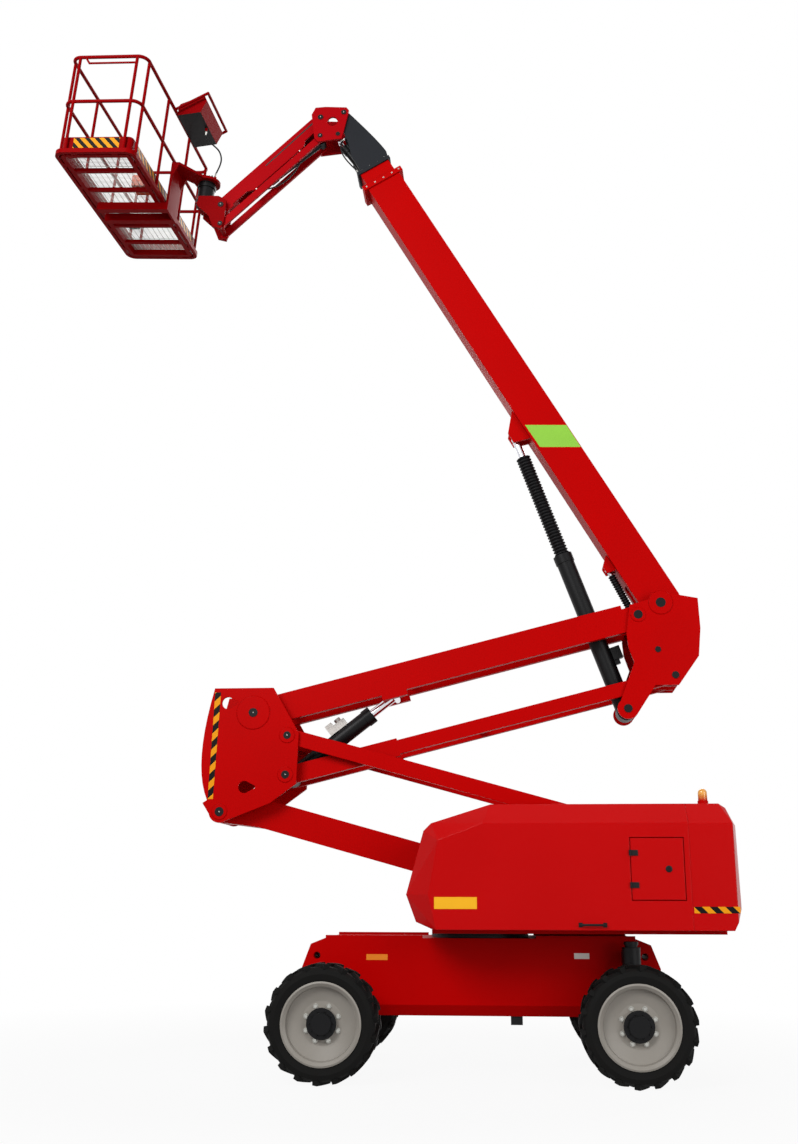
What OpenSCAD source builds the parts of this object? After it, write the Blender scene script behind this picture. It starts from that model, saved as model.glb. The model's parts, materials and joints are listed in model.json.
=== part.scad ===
// Articulating boom lift: double riser, telescoping boom, jib and platform on a slewing turntable.
// The machine faces -X, its left side is -Y, and Z = 0 is the ground. Millimetres and degrees.
// Pins are given as [x, z] points in the machine's middle plane.

/* [Wheels] */
// Diameter over the tyre's lugs
tyre_d = 1015; // [960:5:1040]
// Width of a tyre
tyre_w = 355; // [320:5:370]
// Diameter over the rim's flange
rim_d = 720; // [660:5:740]
// Diameter of the black drive hub
hub_d = 270; // [240:5:300]
// Distance between the axles
wheelbase = 2770; // [2700:10:2900]
// Width over the tyres
overall_w = 2450; // [2430:10:2520]
// Height of a tyre's lug
lug_h = 26; // [16:1:32]
// Number of lugs on each side of a tyre
lug_count = 18; // [14:1:22]

/* [Chassis] */
// Width of the chassis box
chassis_w = 1000; // [900:10:1040]
// Length of the chassis over its end plates
chassis_l = 3340; // [3200:10:3500]
// Height of the chassis deck over the ground
chassis_top = 1215; // [1195:5:1230]
// Height of the chassis floor over the ground
chassis_floor = 520; // [480:5:600]
// Wall of the chassis box
chassis_wall = 14; // [8:1:20]

/* [Turntable] */
// Outer diameter of the slew ring
slew_d = 940; // [860:10:980]
// Thickness of the turntable's deck plate
deck_t = 34; // [24:1:40]
// Clear width between the two hoods
hood_gap = 810; // [800:5:850]
// Width over both hoods
hood_w = 2300; // [2200:10:2400]
// Height of the hoods' top over the ground
hood_top = 2420; // [2380:5:2460]
// Wall of a hood
hood_wall = 24; // [16:1:30]
// How far the counterweight's back lies behind the slew axis
tail_x = 2350; // [2300:10:2450]

/* [Risers] */
// Length of the lower riser between its pins
lower_len = 3600; // [3500:10:3700]
// Rise of the lower riser over the horizontal
lower_lift = 15.5; // [10:0.5:25]
// Length of the upper riser between its pins
upper_len = 4000; // [3900:10:4100]
// Rise of the upper riser over the horizontal
upper_lift = 14; // [10:0.5:25]
// Depth of the risers' box section
riser_depth = 280; // [240:5:300]
// Depth of the thin links beside the risers
link_depth = 150; // [120:5:160]

/* [Boom] */
// Length of the main boom from its pivot to its front collar
boom_len = 5800; // [5600:10:6000]
// Rise of the boom over the horizontal
boom_lift = 60; // [50:0.5:70]
// Depth of the main boom
boom_depth = 400; // [370:5:410]
// Width of the main boom
boom_w = 300; // [280:2:304]
// Wall of the boom tubes
boom_wall = 10; // [6:1:12]

/* [Jib] */
// Length of the jib between its pins
jib_len = 1560; // [1500:10:1650]
// Drop of the jib under the horizontal
jib_drop = 43.5; // [35:0.5:50]

/* [Platform] */
// Length of the platform across the machine
platform_l = 2300; // [2200:10:2480]
// Width of the platform along the machine
platform_w = 910; // [860:10:960]
// Height of the top rail over the platform's floor
rail_h = 1130; // [1050:10:1150]
// Diameter of the rails' tube
rail_d = 38; // [32:1:44]
// Lean of the platform from upright
platform_lean = 5; // [0:0.5:6]
// Swing of the platform on its rotator
platform_swing = -4; // [-6:0.5:6]
// Offset of the platform's middle from the rotator, to the machine's left
platform_shift = 260; // [180:10:300]

/* [Hidden] */
$fn = 48;
// Clearances: a turning pin, a sliding rod, and a face that moves past another
pin_fit = 0.05;
slide_fit = 0.3;
// The slew axis lies this far behind the middle of the machine's length
slew_x = 1000;
// and this far right of the middle of the width, since the platform hangs off to the left
slew_y = 76;

// Layers beside the middle plane, from inside to outside, as half widths
beam_in = 165;
beam_out = 235;
boom_plate_in = 240;
boom_plate_out = 265;
link_in = 275;
link_out = 320;
knuckle_in = 330;
knuckle_out = 355;
upright_in = 365;
upright_out = 390;

// Heights of the turntable
deck_z = chassis_top + 53 + deck_t;
hood_z = deck_z;
axle_z = tyre_d / 2;
wheel_y = overall_w / 2 - tyre_w / 2;
kingpin_y = wheel_y - 327;

// Riser pins: lower riser and lower link on the turntable
pin_lower = [920, 1440];
link_step = [660, 750];
pin_lower_link = pin_lower + link_step;
lower_dir = [-cos(lower_lift), sin(lower_lift)];
upper_dir = [cos(upper_lift), sin(upper_lift)];
// Riser knuckle pins: D lower riser, B lower link, A upper riser, C upper link and riser cylinder
pin_d = pin_lower + lower_len * lower_dir;
pin_b = pin_d + link_step;
pin_a = pin_d + [310, 980];
pin_c = pin_a + [340, -620];
// Boom knuckle pins: R upper riser, E upper link, P boom, L lift cylinder, M level cylinder
pin_r = pin_a + upper_len * upper_dir;
pin_e = pin_c + upper_len * upper_dir;
pin_p = pin_r + [230, 120];
pin_l = pin_r + [-140, -950];
pin_m = pin_r + [180, -360];

// A point of the boom: distance along it from its pivot, height over its axis
function boom_point(along, up) = pin_p
    + along * [-cos(boom_lift), sin(boom_lift)] + up * [sin(boom_lift), cos(boom_lift)];
boom_up = boom_depth / 2 + 35;
boom_down = boom_depth / 2 - 35;
boom_tail = 225;
lift_lug_s = 2354;
lug_drop = 118;
level_lug_s = 609;
level_lug_drop = 49;
pin_lift_eye = boom_point(lift_lug_s, -boom_down - lug_drop);
pin_level_eye = boom_point(level_lug_s, -boom_down - level_lug_drop);
nose_reach = 960;
nose_up = 84;
pin_jib = boom_point(boom_len + nose_reach, nose_up);
slave_root_s = 250;
slave_root_v = -70;
slave_root = boom_point(boom_len + slave_root_s, slave_root_v);

// Jib pins: base upper and lower, head upper and lower, and the slave cylinder's pin
jib_step = [0, -240];
pin_j1 = pin_jib + [-270, -50];
pin_j2 = pin_j1 + jib_step;
pin_slave = pin_jib + [-65, -280];
jib_dir = [-cos(jib_drop), -sin(jib_drop)];
jib_down = [sin(jib_drop), -cos(jib_drop)];
pin_k1 = pin_j1 + jib_len * jib_dir;
pin_k2 = pin_k1 + jib_step;
jib_lug_s = 1150;
jib_lug_v = 100;
pin_jib_eye = pin_j1 + jib_lug_s * jib_dir + jib_lug_v * jib_down;
riser_lug_s = 1419;
riser_lug_v = -137;
pin_riser_eye = pin_a + riser_lug_s * upper_dir + riser_lug_v * [-sin(upper_lift), cos(upper_lift)];

// Platform head frame: origin at pin K1, before the lean
rotator_x = -235;
rotator_r = 95;
rotator_z = 40;
rotator_h = 300;
floor_z = -68;
frame_h = 70;
platform_x = -553 - platform_w / 2;
platform_y = -platform_shift;
toe_h = 150;
corner_r = 110;

// Routes of the free hoses: along and over the jib, over the rotator, and along and over the boom
jib_hose_d = 16;
jib_hose_y = 75;
jib_route = [
    [440, -100], [440, -122], [452, -150], [477, -176], [507, -200], [545, -222], [590, -241], [640,
        -256], [690, -266],
    [740, -272], [790, -273], [840, -269], [889, -260], [935, -246], [978, -228], [1017, -206], [1051,
        -181],
    [1083, -155], [1110, -128], [1120, -108], [1120, -100]
];
platform_hose_d = 18;
platform_route = [
    [-130, 400], [-130, 430], [-120, 465], [-108, 500], [-96, 540], [-88, 580], [-86, 620], [-92, 660],
        [-106, 700],
    [-128, 740], [-158, 775], [-192, 805], [-228, 835], [-262, 865], [-292, 900], [-312, 940], [-320,
        970], [-320, 1000]
];
hose_low_x = platform_route[0][0];
hose_low_z = platform_route[0][1];
hose_high_x = platform_route[len(platform_route) - 1][0];
hose_high_z = platform_route[len(platform_route) - 1][1];
nose_hose_d = 16;
nose_route = [
    [6000, -150], [6030, -150], [6070, -157], [6115, -167], [6165, -176], [6215, -183], [6265, -187],
        [6312, -186],
    [6355, -179], [6393, -166], [6425, -147], [6452, -122], [6472, -96], [6477, -80], [6477, -70]
];

wheels = [["front_left", -1, -1], ["front_right", -1, 1], ["rear_left", 1, -1], ["rear_right", 1, 1]];

// Frames of the moving pieces
module at_slew() translate([slew_x, slew_y, 0]) children();
module on_boom() translate([pin_p[0], 0, pin_p[1]]) mirror([1, 0, 0]) rotate([0, -boom_lift, 0]) children();
module on_lower() translate([pin_lower[0], 0, pin_lower[1]]) mirror([1, 0, 0]) rotate([0, -lower_lift,
    0]) children();
module on_upper() translate([pin_a[0], 0, pin_a[1]]) rotate([0, -upper_lift, 0]) children();
module on_jib() translate([pin_j1[0], 0, pin_j1[1]]) mirror([1, 0, 0]) rotate([0, jib_drop, 0]) children();
module on_head() translate([pin_k1[0], 0, pin_k1[1]]) rotate([0, platform_lean, 0]) children();
module on_platform() on_head()
    translate([rotator_x, 0, 0]) rotate([0, 0, platform_swing]) translate([-rotator_x, 0, 0]) children();
module on_wheel(w) translate([w[1] * wheelbase / 2, w[2] * wheel_y, axle_z]) scale([1, -w[2],
    1]) children();
module along(p, q) translate([p[0], 0, p[1]]) rotate([0, -atan2(q[1] - p[1], q[0] - p[0]), 0]) children();

// A flat outline in the X-Z plane, from one Y to another
module slab(y0, y1) translate([0, y1, 0]) rotate([90, 0, 0]) linear_extrude(y1 - y0) children();
module both_sides() {
    children();
    mirror([0, 1, 0]) children();
}
// A round pin along Y
module pin(p, r, y0, y1) slab(y0, y1) translate(p) circle(r);
// Points of a smooth curve from p to q that bends towards c
function curve(p, c, q, steps) = [for (i = [0 : steps]) let (t = i / steps)
    (1 - t) * (1 - t) * p + 2 * t * (1 - t) * c + t * t * q];
// A drop-shaped hole with its tip to the right
module drop2d(p, r) translate(p) {
    circle(r);
    polygon([[r * 0.32, r * 0.93], [r * 1.8, r * 0.2], [r * 1.8, -r * 0.2], [r * 0.32, -r * 0.93]]);
}
// A flat bar from p to q, with an eye on each end
module bar2d(p, q, w) translate(p) rotate(atan2(q[1] - p[1], q[0] - p[0])) translate([0,
    -w / 2]) square([norm(q - p), w]);
module eye2d(p, r) translate(p) circle(r);
// A rod of radius r along X from x0 to x1
module rod(r, x0, x1) translate([x0, 0, 0]) rotate([0, 90, 0]) cylinder(r = r, h = x1 - x0);
// A box given by its corners
module block(a, b) translate(a) cube(b - a);

// Chassis
module chassis_outline() {
    end_x = chassis_l / 2;
    polygon([
        [-end_x + 220, chassis_top], [end_x - 220, chassis_top], [end_x - 80, chassis_top - 55],
        [end_x, chassis_top - 265], [end_x, chassis_floor + 280], [1130, chassis_floor + 280],
        [950, chassis_floor], [-950, chassis_floor], [-1130, chassis_floor + 280],
        [-end_x, chassis_floor + 280], [-end_x, chassis_top - 265], [-end_x + 80, chassis_top - 55]
    ]);
}
module chassis_inside() {
    end_x = chassis_l / 2 - chassis_wall;
    polygon([
        [-end_x + 220, chassis_top - chassis_wall], [end_x - 220, chassis_top - chassis_wall],
        [end_x, chassis_top - 265], [end_x, chassis_floor + 280 + chassis_wall],
        [1115, chassis_floor + 280 + chassis_wall], [935, chassis_floor + chassis_wall],
        [-935, chassis_floor + chassis_wall], [-1115, chassis_floor + 280 + chassis_wall],
        [-end_x, chassis_floor + 280 + chassis_wall], [-end_x, chassis_top - 265]
    ]);
}
sill_h = 100;
sill_w = 60;
// Wedge along the lower edges: the box gets narrower towards its floor
module sill_wedge(grow) both_sides() translate([-chassis_l / 2 - 1, 0, 0]) rotate([90, 0,
    90]) linear_extrude(chassis_l + 2)
    polygon([
        [chassis_w / 2 - sill_w - grow, chassis_floor - 1], [chassis_w / 2 + 1, chassis_floor - 1],
        [chassis_w / 2 + 1, chassis_floor + sill_h + grow]
    ]);
rim_h = 25;
tie_r = 32;
tie_wall = 16;
tie_x = chassis_l / 2 - 140;
tie_z = chassis_top - 160;
module chassis_frame() color("#b00808") {
    difference() {
        slab(-chassis_w / 2, chassis_w / 2) chassis_outline();
        difference() {
            slab(-chassis_w / 2 + chassis_wall, chassis_w / 2 - chassis_wall) chassis_inside();
            sill_wedge(2 * chassis_wall);
            // Tie-down tubes run across the box
            for (x = [-tie_x, tie_x]) pin([x, tie_z], tie_r + tie_wall, -chassis_w, chassis_w);
        }
        sill_wedge(0);
        for (x = [-tie_x, tie_x]) pin([x, tie_z], tie_r, -chassis_w, chassis_w);
        translate([0, 0, chassis_top - 200]) cylinder(d = slew_d - 300, h = 210);
    }
    // Rims beside the deck, in front of and behind the slew ring
    both_sides() for (x = [-chassis_l / 2 + 221, slew_d / 2 + 60])
        block([x, chassis_w / 2 - chassis_wall, chassis_top - 1],
              [x + chassis_l / 2 - slew_d / 2 - 281, chassis_w / 2, chassis_top + rim_h]);
}

axle_h = 150;
yoke_gap = 264;
yoke_t = 42;
yoke_r = 68;
tower_top = chassis_top - 15;
module axle(w) color("#1c1c1e") {
    translate([w * wheelbase / 2, 0, 0]) {
        // Axle beam and the posts that carry the chassis
        block([-85, -kingpin_y + 110, axle_z - axle_h / 2], [85, kingpin_y - 110, axle_z + axle_h / 2]);
        for (y = [-300, 300]) block([-70, y - 60, axle_z], [70, y + 60, chassis_floor + 280]);
        both_sides() {
            // Yoke with its king pin
            block([-60, kingpin_y - 130, axle_z - yoke_gap / 2 - yoke_t],
                  [60, kingpin_y - 95, axle_z + yoke_gap / 2 + yoke_t]);
            for (z = [axle_z - yoke_gap / 2 - yoke_t, axle_z + yoke_gap / 2]) translate([0, 0, z]) {
                translate([0, kingpin_y, 0]) cylinder(r = yoke_r, h = yoke_t);
                block([-60, kingpin_y - 130, 0], [60, kingpin_y, yoke_t]);
            }
            translate([0, kingpin_y, axle_z - yoke_gap / 2 - yoke_t]) cylinder(r = 30,
                h = yoke_gap + 2 * yoke_t);
            // Rear steering towers rise over the tyres
            if (w > 0) {
                translate([0, kingpin_y, axle_z + yoke_gap / 2]) cylinder(r = 58,
                    h = tower_top - axle_z - yoke_gap / 2 - 30);
                translate([0, kingpin_y, tower_top - 230]) cylinder(r = 84, h = 180);
                translate([0, kingpin_y, tower_top - 30]) cylinder(r = 66, h = 30);
                block([-70, chassis_w / 2, tower_top - 190], [70, kingpin_y, tower_top - 90]);
            }
        }
    }
}

module slew_ring() color("#3a3a3c") translate([0, 0, chassis_top]) difference() {
    union() {
        cylinder(d = slew_d, h = 24);
        cylinder(d = slew_d - 50, h = 53 - slide_fit);
    }
    translate([0, 0, -1]) cylinder(d = slew_d - 230, h = 60);
}

// Steering knuckle with its spindle; outward is -Y in the wheel's own frame
spindle_r = 62;
module knuckle() color("#1c1c1e") {
    kp = wheel_y - kingpin_y;
    difference() {
        union() {
            translate([0, kp, -yoke_gap / 2 + 2]) cylinder(r = 72, h = yoke_gap - 4);
            translate([0, kp, 0]) rotate([90, 0, 0]) cylinder(r = 105, h = 150);
            translate([0, kp, 0]) rotate([90, 0, 0]) cylinder(r = spindle_r, h = kp + 60);
            // Steering arm
            block([-230, kp - 45, -40], [0, kp + 15, 0]);
        }
        translate([0, kp, -yoke_gap]) cylinder(r = 30 + pin_fit, h = 2 * yoke_gap);
    }
}

// Wheel, outward is -Y in its own frame
tyre_in_r = rim_d / 2 - 30;
carcass_r = tyre_d / 2 - lug_h;
module tyre() color("#202022") rotate([90, 0, 0]) intersection() {
    cylinder(d = tyre_d, h = tyre_w, center = true);
    union() {
        rotate_extrude($fn = 96) polygon([
            [tyre_in_r, -tyre_w / 2 + 45], [rim_d / 2 - 6, -tyre_w / 2 + 14],
            [(rim_d / 2 + carcass_r) / 2, -tyre_w / 2], [carcass_r - 20, -tyre_w / 2 + 12], [carcass_r,
                -tyre_w / 2 + 40],
            [carcass_r, tyre_w / 2 - 40], [carcass_r - 20, tyre_w / 2 - 12],
                [(rim_d / 2 + carcass_r) / 2, tyre_w / 2],
            [rim_d / 2 - 6, tyre_w / 2 - 14], [tyre_in_r, tyre_w / 2 - 45]
        ]);
        for (i = [0 : lug_count - 1], side = [-1, 1])
            rotate([0, 0, (i + (side > 0 ? 0.5 : 0)) * 360 / lug_count])
                translate([carcass_r - 20, 0, side * tyre_w / 4]) rotate([side * 32, 0, 0])
                    translate([0, -26, -tyre_w / 4 - 14]) cube([lug_h + 40, 52, tyre_w / 2 + 10]);
    }
}
module rim() color("#c9c6c2") rotate([90, 0, 0]) difference() {
    union() {
        rotate_extrude($fn = 96) polygon([
            [tyre_in_r - 14, -tyre_w / 2 + 20], [rim_d / 2 - 8, -tyre_w / 2 + 6], [rim_d / 2 - 8,
                -tyre_w / 2 + 13],
            [tyre_in_r - 1, -tyre_w / 2 + 44], [tyre_in_r - 1, tyre_w / 2 - 44],
            [rim_d / 2 - 8, tyre_w / 2 - 13], [rim_d / 2, tyre_w / 2 - 4], [rim_d / 2 - 16, tyre_w / 2 + 2],
            [tyre_in_r - 14, tyre_w / 2 - 20], [tyre_in_r - 22, tyre_w / 2 - 70], [190, tyre_w / 2 - 105],
            [120, tyre_w / 2 - 105], [120, tyre_w / 2 - 121], [196, tyre_w / 2 - 121],
            [tyre_in_r - 20, tyre_w / 2 - 90], [tyre_in_r - 14, tyre_w / 2 - 100]
        ]);
        // Drive hub
        translate([0, 0, -40]) cylinder(d = hub_d - 50, h = tyre_w / 2 - 40);
        translate([0, 0, tyre_w / 2 - 105]) cylinder(d = hub_d, h = 50);
        translate([0, 0, tyre_w / 2 - 60]) cylinder(d = hub_d - 90, h = 35);
    }
    translate([0, 0, -tyre_w]) cylinder(r = spindle_r + pin_fit, h = tyre_w + 61);
}

// Turntable
module upright_outline() polygon([
    [-330, deck_z], [1800, deck_z], [1800, pin_lower_link[1] - 150], pin_lower_link + [130, 90],
    pin_lower_link + [-110, 110], pin_lower + [-180, 260], pin_lower + [-420, 60]
]);
module turntable_frame() color("#8c0606") {
    block([-420, -880, deck_z - deck_t], [tail_x - 120, 880, deck_z]);
    both_sides() {
        slab(upright_in, upright_out) upright_outline();
        pin(pin_lower_link, 38, link_in, upright_out + 8);
    }
    pin(pin_lower, 45, -upright_out - 8, upright_out + 8);
}

hood_in = hood_gap / 2;
hood_out = hood_w / 2;
hood_end = tail_x - 450;
hood_bevel = 170;
module hood_silhouette() polygon([
    [130, hood_top], [hood_end, hood_top], [hood_end, hood_z], [-400, hood_z], [-560, hood_z + 70],
    [-650, hood_z + 310], [-490, hood_top - 240], [-420, hood_top - 170]
]);
module hood_face() polygon([
    [60, hood_top - 180], [hood_end, hood_top - 180], [hood_end, hood_z + 5], [-370, hood_z + 5],
    [-440, hood_z + 310], [-350, hood_top - 330]
]);
module hood_body() hull() {
    slab(hood_in, hood_out - hood_bevel) hood_silhouette();
    slab(hood_out - 2, hood_out) hood_face();
}
module hood_hollow() hull() {
    slab(hood_in + hood_wall, hood_out - hood_bevel) offset(delta = -hood_wall) hood_silhouette();
    slab(hood_out - hood_wall - 2, hood_out - hood_wall) offset(delta = -hood_wall) hood_face();
}
door_x = 1370;
door_w = 480;
door_z = hood_z + 260;
door_h = 550;
door_gap = 6;
hinge_r = 11;
hinge_out = hinge_r + slide_fit;
module door_opening() block([door_x, hood_out - 90, door_z], [door_x + door_w, hood_out + 40,
    door_z + door_h]);
module left_hood() color("#b80a0a") mirror([0, 1, 0]) {
    difference() {
        hood_body();
        hood_hollow();
        door_opening();
    }
}
module right_hood() color("#b80a0a") difference() {
    hood_body();
    hood_hollow();
}
module service_door() color("#b80a0a") {
    block([door_x + door_gap, -hood_out, door_z + door_gap],
          [door_x + door_w - door_gap, -hood_out + hood_wall, door_z + door_h - door_gap]);
    // Hinges on the front edge, each a barrel with its leaf
    for (z = [door_z + 110, door_z + door_h - 160]) {
        translate([door_x, -hood_out - hinge_out, z]) cylinder(r = hinge_r, h = 50);
        block([door_x + door_gap, -hood_out - 8, z], [door_x + 70, -hood_out + 2, z + 50]);
    }
}
module counterweight_outline() polygon([
    [hood_end, hood_top], [tail_x - 150, hood_top], [tail_x - 90, hood_top - 40], [tail_x - 10,
        hood_top - 200], [tail_x - 30, hood_top - 350],
    [tail_x, hood_z + 270], [tail_x, hood_z + 190], [tail_x - 100, hood_z], [hood_end, hood_z]
]);
weight_low_z = hood_z + 290;
module counterweight() color("#b80a0a") difference() {
    hull() {
        slab(-hood_out + hood_bevel, hood_out - hood_bevel) counterweight_outline();
        slab(-hood_out, hood_out) intersection() {
            counterweight_outline();
            translate([hood_end, hood_z + 5]) square([tail_x - hood_end - 60, hood_top - hood_z - 190]);
        }
    }
    // Room for the boom knuckle when the machine is folded
    block([hood_end - 1, -hood_in, weight_low_z], [tail_x + 10, hood_in, hood_top + 10]);
}
module battery_pack() color("#303030") both_sides()
    block([150, hood_in + 90, hood_z + hood_wall], [1250, hood_out - 260, hood_z + 640]);
beacon_x = tail_x - 270;
beacon_r = 42;
beacon_base_h = 30;
beacon_lens_h = 70;
module beacon() color("#f08a10") translate([beacon_x, -hood_out + 270, hood_top]) {
    cylinder(r = beacon_r + 6, h = beacon_base_h);
    translate([0, 0, beacon_base_h]) cylinder(r = beacon_r, h = beacon_lens_h);
    translate([0, 0, beacon_base_h + beacon_lens_h]) sphere(r = beacon_r);
}

// Risers
lower_boss = 105;
lower_half = 200;
module lower_riser() color("#b00808") on_lower() difference() {
    union() {
        slab(-lower_half, lower_half) {
            polygon([[220, -40], [lower_len - 350, -40], [lower_len - 350, riser_depth - 40], [420,
                riser_depth - 40], [220, 170]]);
            bar2d([0, 0], [300, 60], 190);
            bar2d([lower_len - 420, 60], [lower_len, 0], 190);
            eye2d([0, 0], lower_boss);
            eye2d([lower_len, 0], lower_boss);
        }
    }
    slab(-lower_half + 16, lower_half - 16) polygon([
        [440, -24], [lower_len - 500, -24], [lower_len - 500, riser_depth - 56], [440, riser_depth - 56]]);
    pin([0, 0], 45 + pin_fit, -500, 500);
    pin([lower_len, 0], 45 + pin_fit, -500, 500);
}
module lower_link() color("#b00808") both_sides() slab(link_in, link_out) difference() {
    union() {
        bar2d(pin_b, pin_lower_link, link_depth);
        eye2d(pin_b, link_depth / 2 + 12);
        eye2d(pin_lower_link, link_depth / 2 + 12);
    }
    eye2d(pin_b, 38 + pin_fit);
    eye2d(pin_lower_link, 38 + pin_fit);
}
boss_t = 6;
module riser_knuckle_outline() difference() {
    union() {
        polygon(concat(
            curve(pin_d + [-130, 115], pin_d + [-290, 467], pin_a + [-400, 250], 10),
            [pin_a + [200, 250], pin_b + [115, 25], pin_c + [110, -90], pin_c + [-150, -280],
                pin_d + [60, -90]]
        ));
        eye2d(pin_d, 108);
        bar2d(pin_d, pin_d + [-90, 140], 200);
    }
    drop2d(pin_a + [-262, 100], 60);
    drop2d(pin_d + [240, 240], 60);
}
module riser_knuckle() color("#b00808") {
    both_sides() {
        slab(knuckle_in, knuckle_out) riser_knuckle_outline();
        pin(pin_b, 38, link_in, knuckle_out + 10);
        // Bosses welded round the pins
        pin(pin_a, 165, knuckle_out, knuckle_out + boss_t);
        for (p = [pin_b, pin_c, pin_d]) pin(p, 74, knuckle_out, knuckle_out + boss_t);
    }
    pin(pin_a, 45, -knuckle_out - 10, knuckle_out + 10);
    pin(pin_c, 40, -knuckle_out - 10, knuckle_out + 10);
    pin(pin_d, 45, -knuckle_out - 10, knuckle_out + 10);
    // Front closing plate between the side plates
    slab(-knuckle_in, knuckle_in) polygon([
        pin_d + [-190, 560], pin_a + [-430, 60], pin_a + [-410, 60], pin_d + [-168, 560], pin_d + [-150,
            250], pin_d + [-172, 250]
    ]);
}
upper_boss = 110;
module upper_riser() color("#b00808") on_upper() {
    both_sides() slab(beam_in, beam_out) difference() {
        union() {
            translate([120, -riser_depth / 2]) square([upper_len - 260, riser_depth]);
            eye2d([0, 0], upper_boss);
            bar2d([0, 0], [200, 0], 200);
            eye2d([upper_len, 0], upper_boss);
            bar2d([upper_len - 200, 0], [upper_len, 0], 200);
            // Lug of the riser cylinder
            translate([riser_lug_s - 130, riser_lug_v - 55]) square([260, 120]);
        }
        eye2d([0, 0], 45 + pin_fit);
        eye2d([upper_len, 0], 45 + pin_fit);
    }
    pin([350, 0], 50, -beam_in, beam_in);
    pin([upper_len - 2400, 0], 40, -beam_in, beam_in);
}
link_plate_l = 1150;
module upper_link() color("#b00808") {
    both_sides() slab(beam_in, beam_out) difference() {
        union() {
            bar2d(pin_c, pin_e, link_depth - 10);
            bar2d(pin_c, pin_c + link_plate_l * upper_dir, link_depth + 30);
            eye2d(pin_c, link_depth / 2 + 6);
            eye2d(pin_e, link_depth / 2 - 2);
        }
        eye2d(pin_c, 40 + pin_fit);
        eye2d(pin_e, 36 + pin_fit);
    }
    for (s = [1000, 2000]) pin(pin_c + s * upper_dir, 40, -beam_in, beam_in);
}

// A hydraulic cylinder's barrel with its base eye
module barrel(p, q, r, len, rod_r, eye_r, pin_r, half, bore_from) along(p, q) difference() {
    union() {
        rod(r, 0, len);
        rod(r + 8, len - 90, len);
        pin([0, 0], eye_r, -half, half);
    }
    rod(rod_r + slide_fit, bore_from, len + 1);
    pin([0, 0], pin_r + pin_fit, -half - 1, half + 1);
}
// Its rod with the eye on the far end, from depth "inside" in the barrel
module piston(p, q, rod_r, inside, eye_r, half) along(p, q) {
    rod(rod_r, inside, norm(q - p));
    pin([norm(q - p), 0], eye_r, -half, half);
}
module bellows(p, q, r, rod_r, from, to, folds) along(p, q) rotate([0, 90, 0]) translate([0, 0,
    from]) difference() {
    pitch = (to - from) / folds;
    rotate_extrude() polygon(concat(
        [[rod_r + slide_fit, 0]],
        [for (i = [0 : folds - 1]) each [[r - 16, i * pitch], [r, (i + 0.5) * pitch]]],
        [[r - 16, to - from], [rod_r + slide_fit, to - from]]
    ));
}

riser_barrel_len = 1050;
module riser_barrel() color("#19191b") {
    barrel(pin_c, pin_riser_eye, 82, riser_barrel_len, 45, 95, 40, 120, 150);
    // Valve block on the barrel
    along(pin_c, pin_riser_eye) {
        block([580, -50, 75], [660, 50, 190]);
        block([655, -42, 75], [790, 42, 150]);
        translate([725, 0, 148]) cylinder(r = 34, h = 40);
    }
}
module riser_rod() color("#d5d5d5") piston(pin_c, pin_riser_eye, 45, 360, 55, beam_in - 5);

// Boom knuckle
cradle_in = 108;
cradle_out = 148;
module boom_knuckle_outline() polygon([
    pin_r + [-80, 100], pin_p + [90, 95], pin_p + [370, 40], pin_p + [380, -270], pin_e + [240, 190],
    pin_e + [30, -100], pin_e + [-200, -100], pin_l + [80, -70], pin_l + [-60, -60],
    pin_l + [-80, 50], pin_r + [-60, -490], pin_r + [-112, -330], pin_r + [-124, -190]
]);
module boom_knuckle() color("#b00808") {
    both_sides() {
        slab(boom_plate_in, boom_plate_out) {
            boom_knuckle_outline();
            eye2d(pin_l, 104);
        }
        pin(pin_p, 118, boom_plate_out, boom_plate_out + boss_t);
        pin(pin_r, 72, boom_plate_out, boom_plate_out + boss_t);
        pin(pin_r, 45, beam_in, boom_plate_out + 8);
        pin(pin_e, 36, beam_in, boom_plate_out + 8);
    }
    pin(pin_p, 50, -boom_plate_out - 8, boom_plate_out + 8);
    // Cradle plates inside the upper links carry the lift cylinder's pin
    pin(pin_l, 42, -cradle_out - 8, cradle_out + 8);
    both_sides() {
        pin(pin_l, 42, boom_plate_in, boom_plate_out + 8);
        slab(cradle_in, cradle_out) polygon([
            pin_l + [-75, 55], pin_l + [-60, -60], pin_l + [80, -68], pin_e + [-190, -92], pin_e + [25,
                -92],
            pin_e + [234, 186], pin_e + [246, 290], pin_e + [180, 250], pin_e + [-60, 70]
        ]);
    }
    pin(pin_m, 30, -boom_plate_out - 8, boom_plate_out + 8);
    // Back plate
    slab(-boom_plate_in, boom_plate_in) polygon([
        pin_p + [356, 30], pin_p + [370, 30], pin_p + [380, -270], pin_e + [240, 195], pin_e + [222,
            200], pin_p + [364, -268]
    ]);
}

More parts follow.
